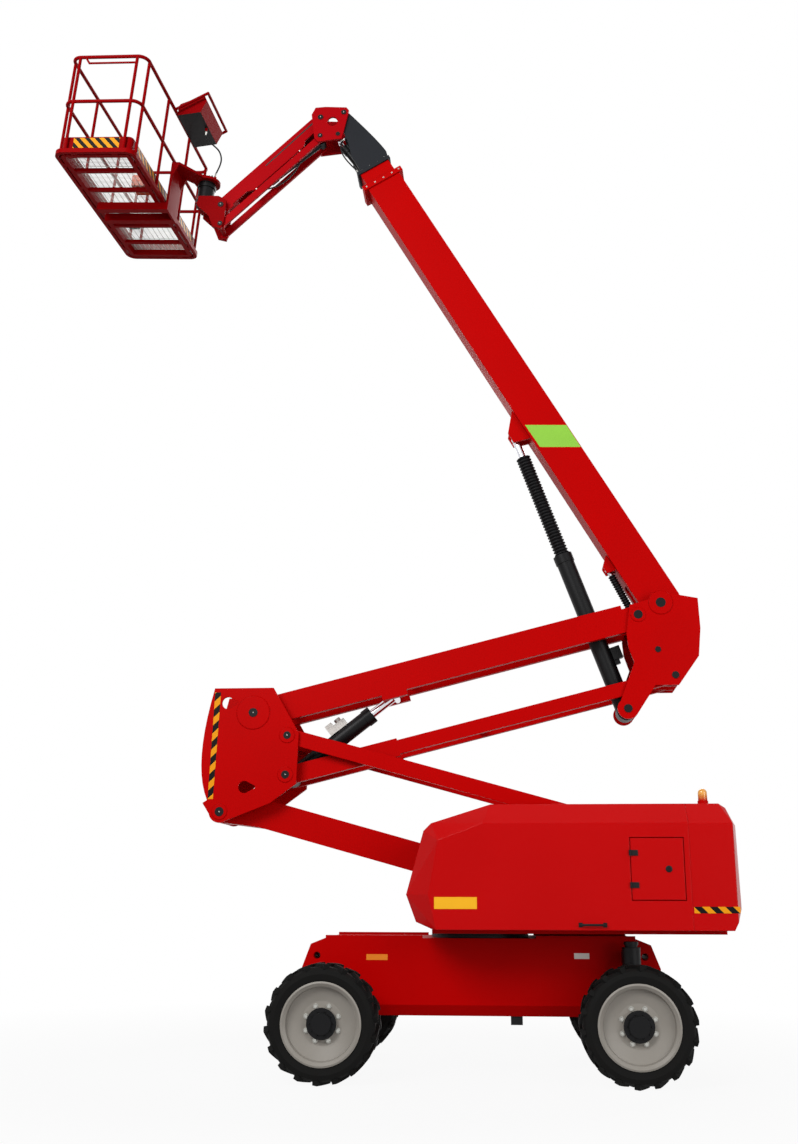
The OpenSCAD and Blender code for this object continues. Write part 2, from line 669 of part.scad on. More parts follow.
// Boom
tube_w = boom_w - 2 * boom_wall;
tube_gap = 8;
guide_l = 150;
collar_h = 50;
ext_down = boom_down - boom_wall - tube_gap;
ext_up = boom_up - boom_wall - tube_gap;
ext_w = tube_w - 2 * tube_gap;
module main_boom() color("#b00808") {
    on_boom() difference() {
        union() {
            slab(-boom_w / 2, boom_w / 2) polygon([
                [-boom_tail, -boom_down], [boom_len, -boom_down], [boom_len, boom_up], [0, boom_up],
                    [-boom_tail, boom_up - 60]
            ]);
            // Front collar
            slab(-boom_w / 2 - 18, boom_w / 2 + 18)
                translate([boom_len - 60, -boom_down - collar_h]) square([60, boom_depth + 2 * collar_h]);
            // Bosses of the pivot
            pin([0, 0], 110, -boom_plate_in + 4, boom_plate_in - 4);
            // Lugs of the lift and level cylinders
            both_sides() {
                slab(62, 92) polygon([
                    [lift_lug_s - 110, -boom_down + 1], [lift_lug_s - 60, -boom_down - lug_drop - 50],
                    [lift_lug_s + 60, -boom_down - lug_drop - 50], [lift_lug_s + 260, -boom_down + 1]
                ]);
                slab(48, 72) polygon([
                    [level_lug_s - 60, -boom_down + 1], [level_lug_s - 40,
                        -boom_down - level_lug_drop - 42],
                    [level_lug_s + 40, -boom_down - level_lug_drop - 42], [level_lug_s + 130,
                        -boom_down + 1]
                ]);
            }
        }
        block([360, -tube_w / 2, -boom_down + boom_wall], [boom_len - guide_l, tube_w / 2,
            boom_up - boom_wall]);
        // Channel for the level cylinder when the boom stands up
        block([-boom_tail - 1, -66, -boom_down - 1], [355, 66, -boom_down + 47]);
        // Front guide that the extension runs in
        block([boom_len - guide_l - 1, -ext_w / 2 - slide_fit, -ext_down - slide_fit],
              [boom_len + 1, ext_w / 2 + slide_fit, ext_up + slide_fit]);
        pin([0, 0], 50 + pin_fit, -400, 400);
    }
}
nose_root = boom_len + 160;
module extension_boom() color("#b00808") on_boom() difference() {
    union() {
        block([500, -ext_w / 2, -ext_down], [nose_root, ext_w / 2, ext_up]);
        // Rear wear pads that run in the main boom
        block([520, -tube_w / 2 + slide_fit, -boom_down + boom_wall + slide_fit],
              [660, tube_w / 2 - slide_fit, boom_up - boom_wall - slide_fit]);
    }
    block([499, -ext_w / 2 + boom_wall, -ext_down + boom_wall], [nose_root + 1, ext_w / 2 - boom_wall,
        ext_up - boom_wall]);
}
nose_in = 97;
nose_out = 124;
nose_tip = boom_len + nose_reach;
module boom_nose() color("#222326") on_boom() difference() {
    union() {
        both_sides() slab(nose_in, nose_out) polygon([
            [nose_root + 10, -120], [nose_root + 270, -116], [nose_tip - 335, -56], [nose_tip - 183, -32],
            [nose_tip - 40, nose_up - 50], [nose_tip + 20, nose_up - 40], [nose_tip + 45, nose_up],
            each curve([nose_tip + 10, nose_up + 46], [nose_root + 280, nose_up + 165], [nose_root + 110,
                nose_up + 170], 8),
            [nose_root + 40, nose_up + 150], [nose_root + 10, nose_up + 120]
        ]);
        // Gland of the hose beside the near plate
        block([nose_tip - 300, -nose_out + 2, -70], [nose_tip - 266, -nose_in - 2, -20]);
        // Root flange on the tube's end
        difference() {
            block([nose_root, -boom_w / 2, -boom_down - 10], [nose_root + 40, boom_w / 2, boom_up + 10]);
            block([nose_root - 1, -nose_in + 30, -ext_down + 60], [nose_root + 41, nose_in - 30,
                ext_up - 60]);
        }
        pin([boom_len + slave_root_s, slave_root_v], 28, -nose_in - 1, nose_in + 1);
    }
    pin([nose_tip, nose_up], 30 + pin_fit, -300, 300);
}

lift_barrel_len = 1752;
lift_rod_r = 40;
module lift_barrel() color("#19191b") {
    barrel(pin_l, pin_lift_eye, 92, lift_barrel_len, lift_rod_r, 95, 42, cradle_in - 8, 180);
    // Valve block on the barrel
    along(pin_l, pin_lift_eye) {
        block([530, -45, -185], [660, 45, -85]);
        block([480, -30, -140], [535, 30, -85]);
    }
}
module lift_rod() color("#d5d5d5") piston(pin_l, pin_lift_eye, lift_rod_r, 1250, lift_rod_r + 2, 57);
lift_boot_gap = 150;
module lift_bellows() color("#19191b")
    bellows(pin_l, pin_lift_eye, 88, lift_rod_r, lift_barrel_len + 2,
        norm(pin_lift_eye - pin_l) - lift_boot_gap, 25);
level_barrel_len = 545;
module level_barrel() color("#19191b") barrel(pin_m, pin_level_eye, 48, level_barrel_len, 24, 52, 30, 60,
    60);
module level_rod() color("#d5d5d5") piston(pin_m, pin_level_eye, 24, 445, 34, 44);
level_boot_gap = 75;
module level_bellows() color("#19191b")
    bellows(pin_m, pin_level_eye, 50, 24, level_barrel_len + 2,
        norm(pin_level_eye - pin_m) - level_boot_gap, 12);

// Jib
jib_plate_in = 130;
jib_plate_out = 155;
arm_half = 85;
jlink_in = 92;
jlink_out = 122;
module jib_base() color("#b00808") {
    both_sides() slab(jib_plate_in, jib_plate_out) difference() {
        polygon([
            pin_jib + [60, 25], pin_jib + [30, 65], pin_j1 + [60, 135], pin_j1 + [-60, 130],
                pin_j1 + [-105, 40],
            pin_j2 + [-70, -20], pin_j2 + [-30, -75], pin_slave + [40, -60], pin_slave + [60, 10]
        ]);
        // Lightening hole
        eye2d(pin_j1 + [140, -60], 58);
    }
    pin(pin_jib, 30, -jib_plate_out - 8, jib_plate_out + 8);
    both_sides() pin(pin_slave, 26, jib_plate_in, jib_plate_out + 8);
    pin(pin_j1, 32, -jib_plate_out - 8, jib_plate_out + 8);
    pin(pin_j2, 28, -jib_plate_out - 8, jib_plate_out + 8);
}
slave_barrel_len = 398;
module slave_barrel() color("#19191b") barrel(slave_root, pin_slave, 42, slave_barrel_len, 20, 45, 28,
    60, 46);
module slave_rod() color("#d5d5d5") piston(slave_root, pin_slave, 20, 120, 27, 40);
arm_depth = 200;
arm_end = 52;
module jib_arm() color("#b00808") on_jib() difference() {
    union() {
        slab(-arm_half, arm_half) {
            // Box section, shallower at both ends where the lower pins swing past
            polygon([
                [60, -arm_end], [300, -arm_end], [370, -arm_depth / 2], [jib_len - 420, -arm_depth / 2],
                [jib_len - 340, -arm_end], [jib_len - 70, -arm_end], [jib_len - 70, arm_depth / 2], [60,
                    arm_depth / 2]
            ]);
            eye2d([0, 0], 85);
            eye2d([jib_len, 0], 85);
            bar2d([0, 0], [120, 0], 150);
            bar2d([jib_len - 120, 0], [jib_len, 0], 150);
        }
    }
    // Channel for the jib cylinder, open below
    block([-200, -arm_half + 20, -arm_depth], [jib_len - 200, arm_half - 20, arm_depth / 2 - 16]);
    pin([0, 0], 32 + pin_fit, -200, 200);
    pin([jib_len, 0], 32 + pin_fit, -200, 200);
}
module jib_link() color("#b00808") both_sides() slab(jlink_in, jlink_out) difference() {
    union() {
        bar2d(pin_j2, pin_k2, 80);
        eye2d(pin_j2, 50);
        eye2d(pin_k2, 50);
    }
    eye2d(pin_j2, 28 + pin_fit);
    eye2d(pin_k2, 28 + pin_fit);
}
jib_barrel_len = 760;
module jib_barrel() color("#19191b") barrel(pin_j2, pin_jib_eye, 38, jib_barrel_len, 24, 46, 28, 55, 80);
module jib_rod() color("#d5d5d5") piston(pin_j2, pin_jib_eye, 24, 260, 30, 55);

// Platform head: two plates on the jib's pins and the rotator
module platform_head() {
    color("#b00808") on_head() {
        both_sides() slab(jib_plate_in, jib_plate_out) polygon([
            [60, 60], [-40, 110], [rotator_x - 40, rotator_z + 60], [rotator_x - 40, rotator_z - 60],
            [-130, -140], jib_step + [-60, -40], jib_step + [40, -60], jib_step + [60, 40]
        ]);
        block([rotator_x - 60, -jib_plate_in, rotator_z - 26], [-135, jib_plate_in, rotator_z]);
    }
    color("#b00808") {
        pin(pin_k1, 32, -jib_plate_out - 8, jib_plate_out + 8);
        pin(pin_k2, 28, -jib_plate_out - 8, jib_plate_out + 8);
    }
}
module rotator() color("#1c1c1e") on_head() translate([rotator_x, 0, rotator_z]) {
    cylinder(r = rotator_r, h = rotator_h);
    for (z = [30, rotator_h - 70]) translate([0, 0, z]) cylinder(r = rotator_r + 10, h = 40);
}
// Bracket that hangs the platform on the rotator's top
support_z = rotator_z + rotator_h + slide_fit;
platform_right = platform_x + platform_w / 2;
beam_z = floor_z - frame_h - 90;
mast_x = platform_right + 24;
mast_half = 160;
gland_r = 16;
hose_y = -60;
module platform_support() color("#b00808") on_platform() {
    translate([rotator_x, 0, support_z]) cylinder(r = 150, h = 30);
    translate([0, 0, support_z]) linear_extrude(30) polygon([
        [mast_x, platform_y - mast_half], [mast_x + 90, platform_y - mast_half], [rotator_x, -150],
            [rotator_x, 150],
        [mast_x + 60, platform_y + mast_half], [mast_x, platform_y + mast_half]
    ]);
    translate([hose_low_x, hose_y, support_z + 25]) cylinder(r = gland_r, h = hose_low_z - support_z - 25);
    translate([0, platform_y, 0]) {
        block([mast_x, -mast_half, beam_z], [mast_x + 26, mast_half, support_z + 30]);
        both_sides() {
            block([platform_x - platform_w / 2 + 120, 80, beam_z], [mast_x + 26, mast_half,
                floor_z - frame_h]);
            // Gussets between the mast plate and the rotator arm
            slab(mast_half - 26, mast_half) polygon([
                [mast_x + 20, support_z + 5], [mast_x + 88, support_z + 5], [mast_x + 20, support_z - 160]
            ]);
        }
    }
}

// Platform
module on_floor() on_platform() translate([platform_x, platform_y, floor_z]) children();
module floor_outline(inset) {
    a = platform_w / 2 - inset;
    b = platform_l / 2 - inset;
    r = corner_r - inset;
    square([2 * a, 2 * (b - r)], center = true);
    square([2 * (a - r), 2 * b], center = true);
    for (x = [r - a, a - r], y = [r - b, b - r]) translate([x, y]) circle(r);
}
bumper_w = 40;
deck_inset = 70;
deck_plate = 4;
toe_t = 4;
cross_n = 5;
module platform_frame() color("#b00808") on_floor() {
    translate([0, 0, -frame_h]) {
        // Bumper, inner edge beam, and the tabs that join them
        linear_extrude(frame_h - 20) difference() {
            floor_outline(0);
            floor_outline(bumper_w);
        }
        linear_extrude(frame_h - deck_plate) difference() {
            floor_outline(deck_inset - 10);
            floor_outline(deck_inset + 40);
        }
        for (y = [-platform_l / 2 + 250 : (platform_l - 500) / 4 : platform_l / 2 - 250], x = [-1, 1])
            translate([x * (platform_w / 2 - bumper_w / 2 - 15), y, 20]) cube([64, 60, 36], center = true);
        for (x = [-platform_w / 4, platform_w / 4], y = [-1, 1])
            translate([x, y * (platform_l / 2 - bumper_w / 2 - 15), 20]) cube([60, 64, 36], center = true);
        // Cross members
        for (i = [1 : cross_n]) translate([0, -platform_l / 2 + i * platform_l / (cross_n + 1), 20])
            cube([platform_w - 2 * deck_inset - 20, 40, 40], center = true);
    }
    // Toe boards
    translate([0, 0, -deck_plate]) linear_extrude(toe_h + deck_plate) difference() {
        floor_outline(deck_inset - 10);
        floor_outline(deck_inset - 10 + toe_t);
    }
}
// Deck of three panels, joined over the outer cross members so that the end panels stay free
panel_y = platform_l / 2 - platform_l / (cross_n + 1);
panel_gap = 2;
module platform_deck() color("#b9b9b5") on_floor() translate([0, 0, -deck_plate])
    linear_extrude(deck_plate) difference() {
        floor_outline(deck_inset - 10 + toe_t + 1);
        for (y = [-panel_y, panel_y]) translate([-platform_w / 2, y - panel_gap / 2]) square([platform_w,
            panel_gap]);
    }

rail_in = 30;
rail_x = platform_w / 2 - rail_in;
rail_y = platform_l / 2 - rail_in;
rail_r = corner_r - 10;
module tube(p, q, d) {
    v = q - p;
    translate(p) rotate([0, acos(v[2] / norm(v)), atan2(v[1], v[0])]) cylinder(d = d, h = norm(v));
}
module rail_loop(z) translate([0, 0, z]) {
    for (y = [-rail_y, rail_y]) tube([rail_r - rail_x, y, 0], [rail_x - rail_r, y, 0], rail_d);
    for (x = [-rail_x, rail_x]) tube([x, rail_r - rail_y, 0], [x, rail_y - rail_r, 0], rail_d);
    for (c = [[1, 1, 0], [-1, 1, 90], [-1, -1, 180], [1, -1, 270]])
        translate([c[0] * (rail_x - rail_r), c[1] * (rail_y - rail_r), 0]) rotate([0, 0, c[2]])
            rotate_extrude(angle = 90) translate([rail_r, 0]) circle(d = rail_d);
}
// Console on the rail over the rotator, with its guard loop
console_w = 640;
console_d = 330;
console_z = rail_h - 60;
console_y = 200;
guard_x = rail_x + console_d + 40;
guard_y = console_w / 2 + 50;
guard_d = rail_d - 6;
guard_z = rail_h + 190;
grab_d = 22;
grab_drop = 75;
bumper_top = -20;
post_d = rail_d - 4;
post_ys = [rail_r - rail_y, -rail_y / 3, rail_y / 3, rail_y - rail_r];
post_xs = [rail_r - rail_x, rail_x - rail_r];
// A bent tube through the points, with round elbows
module tube_path(points, d) {
    for (i = [1 : len(points) - 1]) tube(points[i - 1], points[i], d);
    for (i = [1 : len(points) - 2]) translate(points[i]) sphere(d = d + 1);
}
module platform_rails() color("#b00808") on_floor() {
    rail_loop(rail_h - rail_d / 2);
    rail_loop(rail_h / 2);
    for (x = [-rail_x, rail_x], y = post_ys) tube([x, y, bumper_top], [x, y, rail_h - rail_d / 2], post_d);
    for (x = post_xs, y = [-rail_y, rail_y]) tube([x, y, bumper_top], [x, y, rail_h - rail_d / 2], post_d);
    // Grab bar under the left end's top rail
    tube_path([
        [post_xs[0] + 60, -rail_y, rail_h - rail_d / 2], [post_xs[0] + 110, -rail_y,
            rail_h - rail_d / 2 - grab_drop],
        [post_xs[1], -rail_y, rail_h - rail_d / 2 - grab_drop]
    ], grab_d);
}

// Guard loop round the console, fitted onto the top rail
module console_guard() color("#b00808") on_floor() difference() {
    tube_path([
        [rail_x, console_y - guard_y, rail_h - rail_d / 2], [guard_x, console_y - guard_y, guard_z],
        [guard_x, console_y + guard_y, guard_z], [rail_x, console_y + guard_y, rail_h - rail_d / 2]
    ], guard_d);
    tube([rail_x, -rail_y, rail_h - rail_d / 2], [rail_x, rail_y, rail_h - rail_d / 2],
        rail_d + 2 * slide_fit);
}
module control_console() color("#b00808") {
    on_floor() slab(console_y - console_w / 2,
        console_y + console_w / 2) translate([rail_x + rail_d / 2 + slide_fit, 0])
        polygon([
            [0, console_z], [console_d - 60, console_z + 40], [console_d, console_z + 190],
                [console_d - 40, console_z + 260],
            [20, console_z + 150], [0, console_z + 120]
        ]);
    // Gland of the hose that comes up from the rotator
    on_platform() translate([hose_high_x, hose_y, hose_high_z]) cylinder(r = gland_r, h = 60);
}
module foot_switch() color("#1c1c1e") on_floor() difference() {
    block([-230, 140, 0], [-100, 560, 70]);
    // Open toe hood
    block([-215, 155, 15], [-85, 545, 55]);
}
module tool_box() color("#e2571e") on_floor() difference() {
    block([140, -390, 0], [350, -190, 130]);
    block([146, -384, 6], [344, -196, 131]);
}

// A hose swept along its route, with flat ends
hose_sides = 8;
function way(route, i) = let (d = route[min(i + 1, len(route) - 1)] - route[max(i - 1, 0)]) d / norm(d);
function ring(route, i, r) = let (t = way(route, i), u = cross(t, [0, 1, 0]) / norm(cross(t, [0, 1, 0])),
    v = cross(t, u))
    [for (k = [0 : hose_sides - 1]) route[i] + r * (cos(k * 360 / hose_sides) * u + sin(k * 360 / hose_sides) * v)];
module hose(route, d) {
    n = hose_sides;
    last = len(route) - 1;
    polyhedron(
        points = [for (i = [0 : last]) each ring(route, i, d / 2)],
        faces = concat(
            [[for (k = [0 : n - 1]) k]],
            [for (i = [0 : last - 1], k = [0 : n - 1]) each [
                [i * n + k, (i + 1) * n + k, (i + 1) * n + (k + 1) % n], [i * n + k,
                    (i + 1) * n + (k + 1) % n, i * n + (k + 1) % n]
            ]],
            [[for (k = [n - 1 : -1 : 0]) last * n + k]]
        )
    );
}
module jib_hose(y) color("#141416") on_jib() hose([for (p = jib_route) [p[0], y, p[1]]], jib_hose_d);
module platform_hose(y) color("#141416") on_platform() hose([for (p = platform_route) [p[0], y, p[1]]],
    platform_hose_d);
module nose_hose() color("#141416") on_boom() hose([for (p = nose_route) [p[0],
    -(nose_in + nose_out) / 2, p[1]]], nose_hose_d);

at_slew() chassis_frame();
at_slew() axle(-1);  // front_axle
at_slew() axle(1);  // rear_axle
at_slew() slew_ring();
for (w = wheels) {
    at_slew() on_wheel(w) knuckle();
    at_slew() on_wheel(w) tyre();
    at_slew() on_wheel(w) rim();
}
at_slew() turntable_frame();
at_slew() left_hood();
at_slew() right_hood();
at_slew() counterweight();
at_slew() battery_pack();
at_slew() beacon();
at_slew() service_door();
at_slew() lower_riser();
at_slew() lower_link();
at_slew() riser_knuckle();
at_slew() upper_riser();
at_slew() upper_link();
at_slew() riser_barrel();
at_slew() riser_rod();
at_slew() boom_knuckle();
at_slew() main_boom();
at_slew() extension_boom();
at_slew() boom_nose();
at_slew() lift_barrel();
at_slew() lift_rod();
at_slew() lift_bellows();
at_slew() level_barrel();
at_slew() level_rod();
at_slew() level_bellows();
at_slew() jib_base();
at_slew() slave_barrel();
at_slew() slave_rod();
at_slew() jib_arm();
at_slew() jib_link();
at_slew() jib_barrel();
at_slew() jib_rod();
at_slew() platform_head();
at_slew() rotator();
at_slew() platform_support();
at_slew() platform_frame();
at_slew() platform_deck();
at_slew() platform_rails();
at_slew() control_console();
at_slew() foot_switch();
at_slew() tool_box();
at_slew() console_guard();
at_slew() jib_hose(-jib_hose_y);
at_slew() platform_hose(hose_y);
at_slew() nose_hose();
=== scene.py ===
import json
import math
import bmesh
import bpy
from mathutils import Matrix, Vector


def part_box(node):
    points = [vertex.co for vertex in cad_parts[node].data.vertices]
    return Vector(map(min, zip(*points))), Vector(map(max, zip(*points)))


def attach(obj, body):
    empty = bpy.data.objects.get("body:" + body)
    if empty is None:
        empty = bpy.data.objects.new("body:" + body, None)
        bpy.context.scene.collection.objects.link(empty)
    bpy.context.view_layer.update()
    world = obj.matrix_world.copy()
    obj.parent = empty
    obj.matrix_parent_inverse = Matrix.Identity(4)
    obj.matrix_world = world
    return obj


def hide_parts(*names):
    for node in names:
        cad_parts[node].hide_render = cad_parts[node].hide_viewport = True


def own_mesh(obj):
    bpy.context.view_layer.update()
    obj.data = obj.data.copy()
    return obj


# Articulating boom lift, dressed around its CAD frame. Metres, +Z up, the machine faces -X.
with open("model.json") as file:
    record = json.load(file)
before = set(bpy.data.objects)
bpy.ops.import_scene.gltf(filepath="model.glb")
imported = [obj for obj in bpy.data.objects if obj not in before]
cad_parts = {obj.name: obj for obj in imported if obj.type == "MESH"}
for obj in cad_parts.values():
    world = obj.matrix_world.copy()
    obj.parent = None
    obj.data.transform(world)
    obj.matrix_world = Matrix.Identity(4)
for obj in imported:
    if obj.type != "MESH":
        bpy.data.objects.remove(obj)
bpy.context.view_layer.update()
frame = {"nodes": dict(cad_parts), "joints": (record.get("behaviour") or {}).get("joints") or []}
nodes = frame["nodes"]
joints = {j["name"]: j for j in frame["joints"]}


def pinAt(jointName):
    return Vector(joints[jointName]["pos_m"])


# The pose that the machine is stored in, in degrees, and places on the platform's head
stance = {"boomLift": 60, "jibDrop": 43.5, "lean": 5, "swing": -4}
rotatorX = -0.235
floorPlace = Vector((-1.008, -0.26, -0.068))
middle = pinAt("slew")
boomLift, jibDrop, lean, swing = (math.radians(a) for a in stance.values())


# Frames of the pieces: the machine about its slew axis, then boom, jib, platform head and floor
def spot(x, y, z):
    return Vector((middle.x + x, middle.y + y, z))


def onBoom(along, y, up):
    return pinAt("boom_lift") + Vector((up * math.sin(boomLift) - along * math.cos(boomLift), y,
                                        along * math.sin(boomLift) + up * math.cos(boomLift)))


def onJib(along, y, up):
    return pinAt("jib_lift") + Vector((-along * math.cos(jibDrop) - up * math.sin(jibDrop), y,
                                       up * math.cos(jibDrop) - along * math.sin(jibDrop)))


def onPlatform(x, y, z):
    # Swing about the rotator, then the lean about the jib's upper pin
    out = x - rotatorX
    x = rotatorX + out * math.cos(swing) - y * math.sin(swing)
    y = out * math.sin(swing) + y * math.cos(swing)
    return pinAt("platform_head_level") + Vector((x * math.cos(lean) + z * math.sin(lean), y,
                                                  z * math.cos(lean) - x * math.sin(lean)))


def onFloor(x, y, z):
    return onPlatform(floorPlace.x + x, floorPlace.y + y, floorPlace.z + z)


def onFloorSide(along, out, up):
    # The floor's long side, taken as the flat faces are elsewhere: outwards is negative
    return onFloor(-out, along, up)


# Camera at the photograph's viewpoint, found by fitting the wheels and the platform
cameraLook = {
    "place": (1.24, -12.644, 1.62),
    "pitch": 14.44,
    "yaw": -4.67,
    "roll": 0.09,
    "focal": 1249,  # in pixels of the 798 x 1144 frame
    "imageHeight": 1144,
    "sensor": 36.0,
    "farthest": 200,
}


def addCamera(look):
    pitch, yaw, roll = (math.radians(look[k]) for k in ("pitch", "yaw", "roll"))
    ahead = Vector((math.sin(yaw) * math.cos(pitch), math.cos(yaw) * math.cos(pitch), math.sin(pitch)))
    level = Vector((math.cos(yaw), -math.sin(yaw), 0))
    upright = level.cross(ahead)
    right = level * math.cos(roll) + upright * math.sin(roll)
    up = upright * math.cos(roll) - level * math.sin(roll)
    data = bpy.data.cameras.new("camera")
    data.sensor_fit = "VERTICAL"
    data.sensor_height = look["sensor"]
    data.lens = look["sensor"] * look["focal"] / look["imageHeight"]
    data.clip_end = look["farthest"]
    camera = bpy.data.objects.new("camera", data)
    bpy.context.scene.collection.objects.link(camera)
    turn = Matrix((right, up, -ahead)).transposed().to_4x4()
    camera.matrix_world = Matrix.Translation(look["place"]) @ turn
    bpy.context.scene.camera = camera


addCamera(cameraLook)
bpy.context.scene.view_settings.view_transform = "Standard"


def linear(hexText):
    channels = [int(hexText[i:i + 2], 16) / 255 for i in (1, 3, 5)]
    return [c / 12.92 if c <= 0.04045 else ((c + 0.055) / 1.055) ** 2.4 for c in channels] + [1.0]


def addNode(tree, kind, settings=None, links=None):
    # A link comes from a socket, or from the first output of a node
    node = tree.nodes.new("ShaderNode" + kind)
    for name, value in (settings or {}).items():
        if isinstance(name, int) or name in node.inputs:
            node.inputs[name].default_value = value
        else:
            setattr(node, name, value)
    for name, source in (links or {}).items():
        tree.links.new(source.outputs[0] if hasattr(source, "outputs") else source, node.inputs[name])
    return node


def startMaterial(name, settings):
    material = bpy.data.materials.new(name)
    material.use_nodes = True
    shader = material.node_tree.nodes["Principled BSDF"]
    for key, value in settings.items():
        shader.inputs[key].default_value = value
    place = addNode(material.node_tree, "TexCoord").outputs["Object"]
    return material, material.node_tree, shader, place


def finishSurface(tree, shader, source, colours, rough=None):
    # Lets one pattern drift the colour between two shades and the roughness between two values
    first, second = (linear(c) for c in colours)
    tone = addNode(tree, "MixRGB", {"Color1": first, "Color2": second}, {"Fac": source})
    tree.links.new(tone.outputs["Color"], shader.inputs["Base Color"])
    if rough:
        matt = addNode(tree, "MapRange", {"To Min": rough[0], "To Max": rough[1]}, {"Value": source})
        tree.links.new(matt.outputs["Result"], shader.inputs["Roughness"])


peelDepth = 0.002


def paintedSteel(name, look):
    # Sprayed and baked paint: softened edges, a faint orange peel, gloss that drifts a little over a panel
    material, tree, shader, place = startMaterial(name, {"Specular IOR Level": look["gloss"], "IOR": 1.5})
    edge = addNode(tree, "Bevel", {"samples": 4, "Radius": look["edgeMm"] / 1000})
    # Real peel is about 2 mm, drawn coarser so that it shows
    peel = addNode(tree, "TexNoise", {"Scale": 1000 / look["peelMm"], "Detail": 1.0}, {"Vector": place})
    bump = addNode(tree, "Bump", {"Strength": look["peel"], "Distance": peelDepth},
                   {"Height": peel, "Normal": edge})
    tree.links.new(bump.outputs["Normal"], shader.inputs["Normal"])
    drift = addNode(tree, "TexNoise", {"Scale": 1000 / look["driftMm"], "Detail": 4.0}, {"Vector": place})
    finishSurface(tree, shader, drift, look["colours"], look["rough"])
    return material


redSteelLook = {"colours": ("#B80000", "#AC0000"), "gloss": 0.035, "rough": (0.34, 0.46), "edgeMm": 6,
                "peelMm": 14, "peel": 0.05, "driftMm": 700}
hoodLook = {"colours": ("#BC0002", "#B20001"), "gloss": 0.09, "rough": (0.16, 0.28), "edgeMm": 14,
            "peelMm": 20, "peel": 0.03, "driftMm": 900}
platformLook = {"colours": ("#8C0206", "#820104"), "gloss": 0.02, "rough": (0.36, 0.48), "edgeMm": 3,
                "peelMm": 14, "peel": 0.04, "driftMm": 500}
jibLook = {"colours": ("#A6020C", "#9C0109"), "gloss": 0.035, "rough": (0.34, 0.46), "edgeMm": 4,
           "peelMm": 14, "peel": 0.05, "driftMm": 500}
blackSteelLook = {"colours": ("#050506", "#0B0B0D"), "gloss": 0.16, "rough": (0.36, 0.48), "edgeMm": 3,
                  "peelMm": 10, "peel": 0.08, "driftMm": 300}
noseLook = {"colours": ("#0F1116", "#171A20"), "gloss": 0.16, "rough": (0.44, 0.56), "edgeMm": 8,
            "peelMm": 12, "peel": 0.2, "driftMm": 250}
rimLook = {"colours": ("#918C85", "#837E76"), "gloss": 0.3, "rough": (0.36, 0.48), "edgeMm": 3,
           "peelMm": 12, "peel": 0.06, "driftMm": 300}
redSteel = paintedSteel("redPowderCoat", redSteelLook)
redHood = paintedSteel("redGelCoat", hoodLook)
platformRed = paintedSteel("darkRedPowderCoat", platformLook)
jibRed = paintedSteel("crimsonPowderCoat", jibLook)
blackSteel = paintedSteel("blackEnamel", blackSteelLook)
noseSteel = paintedSteel("charcoalCasting", noseLook)
rimSteel = paintedSteel("greyRimEnamel", rimLook)

tyreLook = {"colours": ("#040404", "#12110F"), "gloss": 0.12, "rough": (0.62, 0.85), "dustMm": 90,
            "thinDust": -0.3, "grainMm": 7, "grain": 0.25, "grainDepth": 0.003}


def tyreRubber(look):
    # Vulcanised rubber: matt, nearly black, with pale dust in its grain
    material, tree, shader, place = startMaterial("tyreRubber", {"Specular IOR Level": look["gloss"]})
    dust = addNode(tree, "TexNoise", {"Scale": 1000 / look["dustMm"], "Detail": 6.0}, {"Vector": place})
    thin = addNode(tree, "MapRange", {"To Min": look["thinDust"], "To Max": 1.0}, {"Value": dust})
    finishSurface(tree, shader, thin, look["colours"])
    smooth, rough = look["rough"]
    matt = addNode(tree, "MapRange", {"To Min": smooth, "To Max": rough}, {"Value": dust})
    tree.links.new(matt.outputs["Result"], shader.inputs["Roughness"])
    # Moulding texture, drawn coarser so that it shows
    fine = addNode(tree, "TexNoise", {"Scale": 1000 / look["grainMm"], "Detail": 3.0}, {"Vector": place})
    bump = addNode(tree, "Bump", {"Strength": look["grain"], "Distance": look["grainDepth"]},
                   {"Height": fine})
    tree.links.new(bump.outputs["Normal"], shader.inputs["Normal"])
    return material


def satinBlack(name, colours):
    # Moulded rubber and nylon: satin black, dusty in places
    material, tree, shader, place = startMaterial(name, {"Specular IOR Level": 0.18})
    dustMm = 60
    dust = addNode(tree, "TexNoise", {"Scale": 1000 / dustMm, "Detail": 4.0}, {"Vector": place})
    finishSurface(tree, shader, dust, colours, (0.42, 0.6))
    return material


def bareMetal(name, colours, rough, marksMm):
    # Plated or bare metal: mirror to satin, with fine marks
    material, tree, shader, place = startMaterial(name, {"Metallic": 1.0})
    marks = addNode(tree, "TexNoise", {"Scale": 1000 / marksMm, "Detail": 5.0}, {"Vector": place})
    finishSurface(tree, shader, marks, colours, rough)
    return material


def amberLens():
    # Moulded polycarbonate lens: clear amber over a ribbed inside
    material, tree, shader, place = startMaterial("amberPolycarbonate", {
        "IOR": 1.58, "Transmission Weight": 0.35, "Roughness": 0.12, "Coat Weight": 0.4})
    ribMm = 12
    ribs = addNode(tree, "TexNoise", {"Scale": 1000 / ribMm, "Detail": 1.0}, {"Vector": place})
    finishSurface(tree, shader, ribs, ("#F3A21B", "#FFC24A"))
    return material


def hazardFilm(name, along, across, stripeMm):
    # Reflective vinyl film with slanted stripes; along and across are the strip's own directions
    material, tree, shader, place = startMaterial(name, {"Specular IOR Level": 0.1, "Roughness": 0.4})
    slant = Vector(along) + Vector(across)
    level = addNode(tree, "VectorMath", {"operation": "DOT_PRODUCT", 1: slant}, {0: place}).outputs["Value"]
    step = addNode(tree, "Math", {"operation": "MULTIPLY", 1: 1000 / (2 * stripeMm)}, {0: level})
    phase = addNode(tree, "Math", {"operation": "FRACT"}, {0: step})
    side = addNode(tree, "Math", {"operation": "GREATER_THAN", 1: 0.5}, {0: phase})
    finishSurface(tree, shader, side, ("#E2930F", "#050404"))
    return material


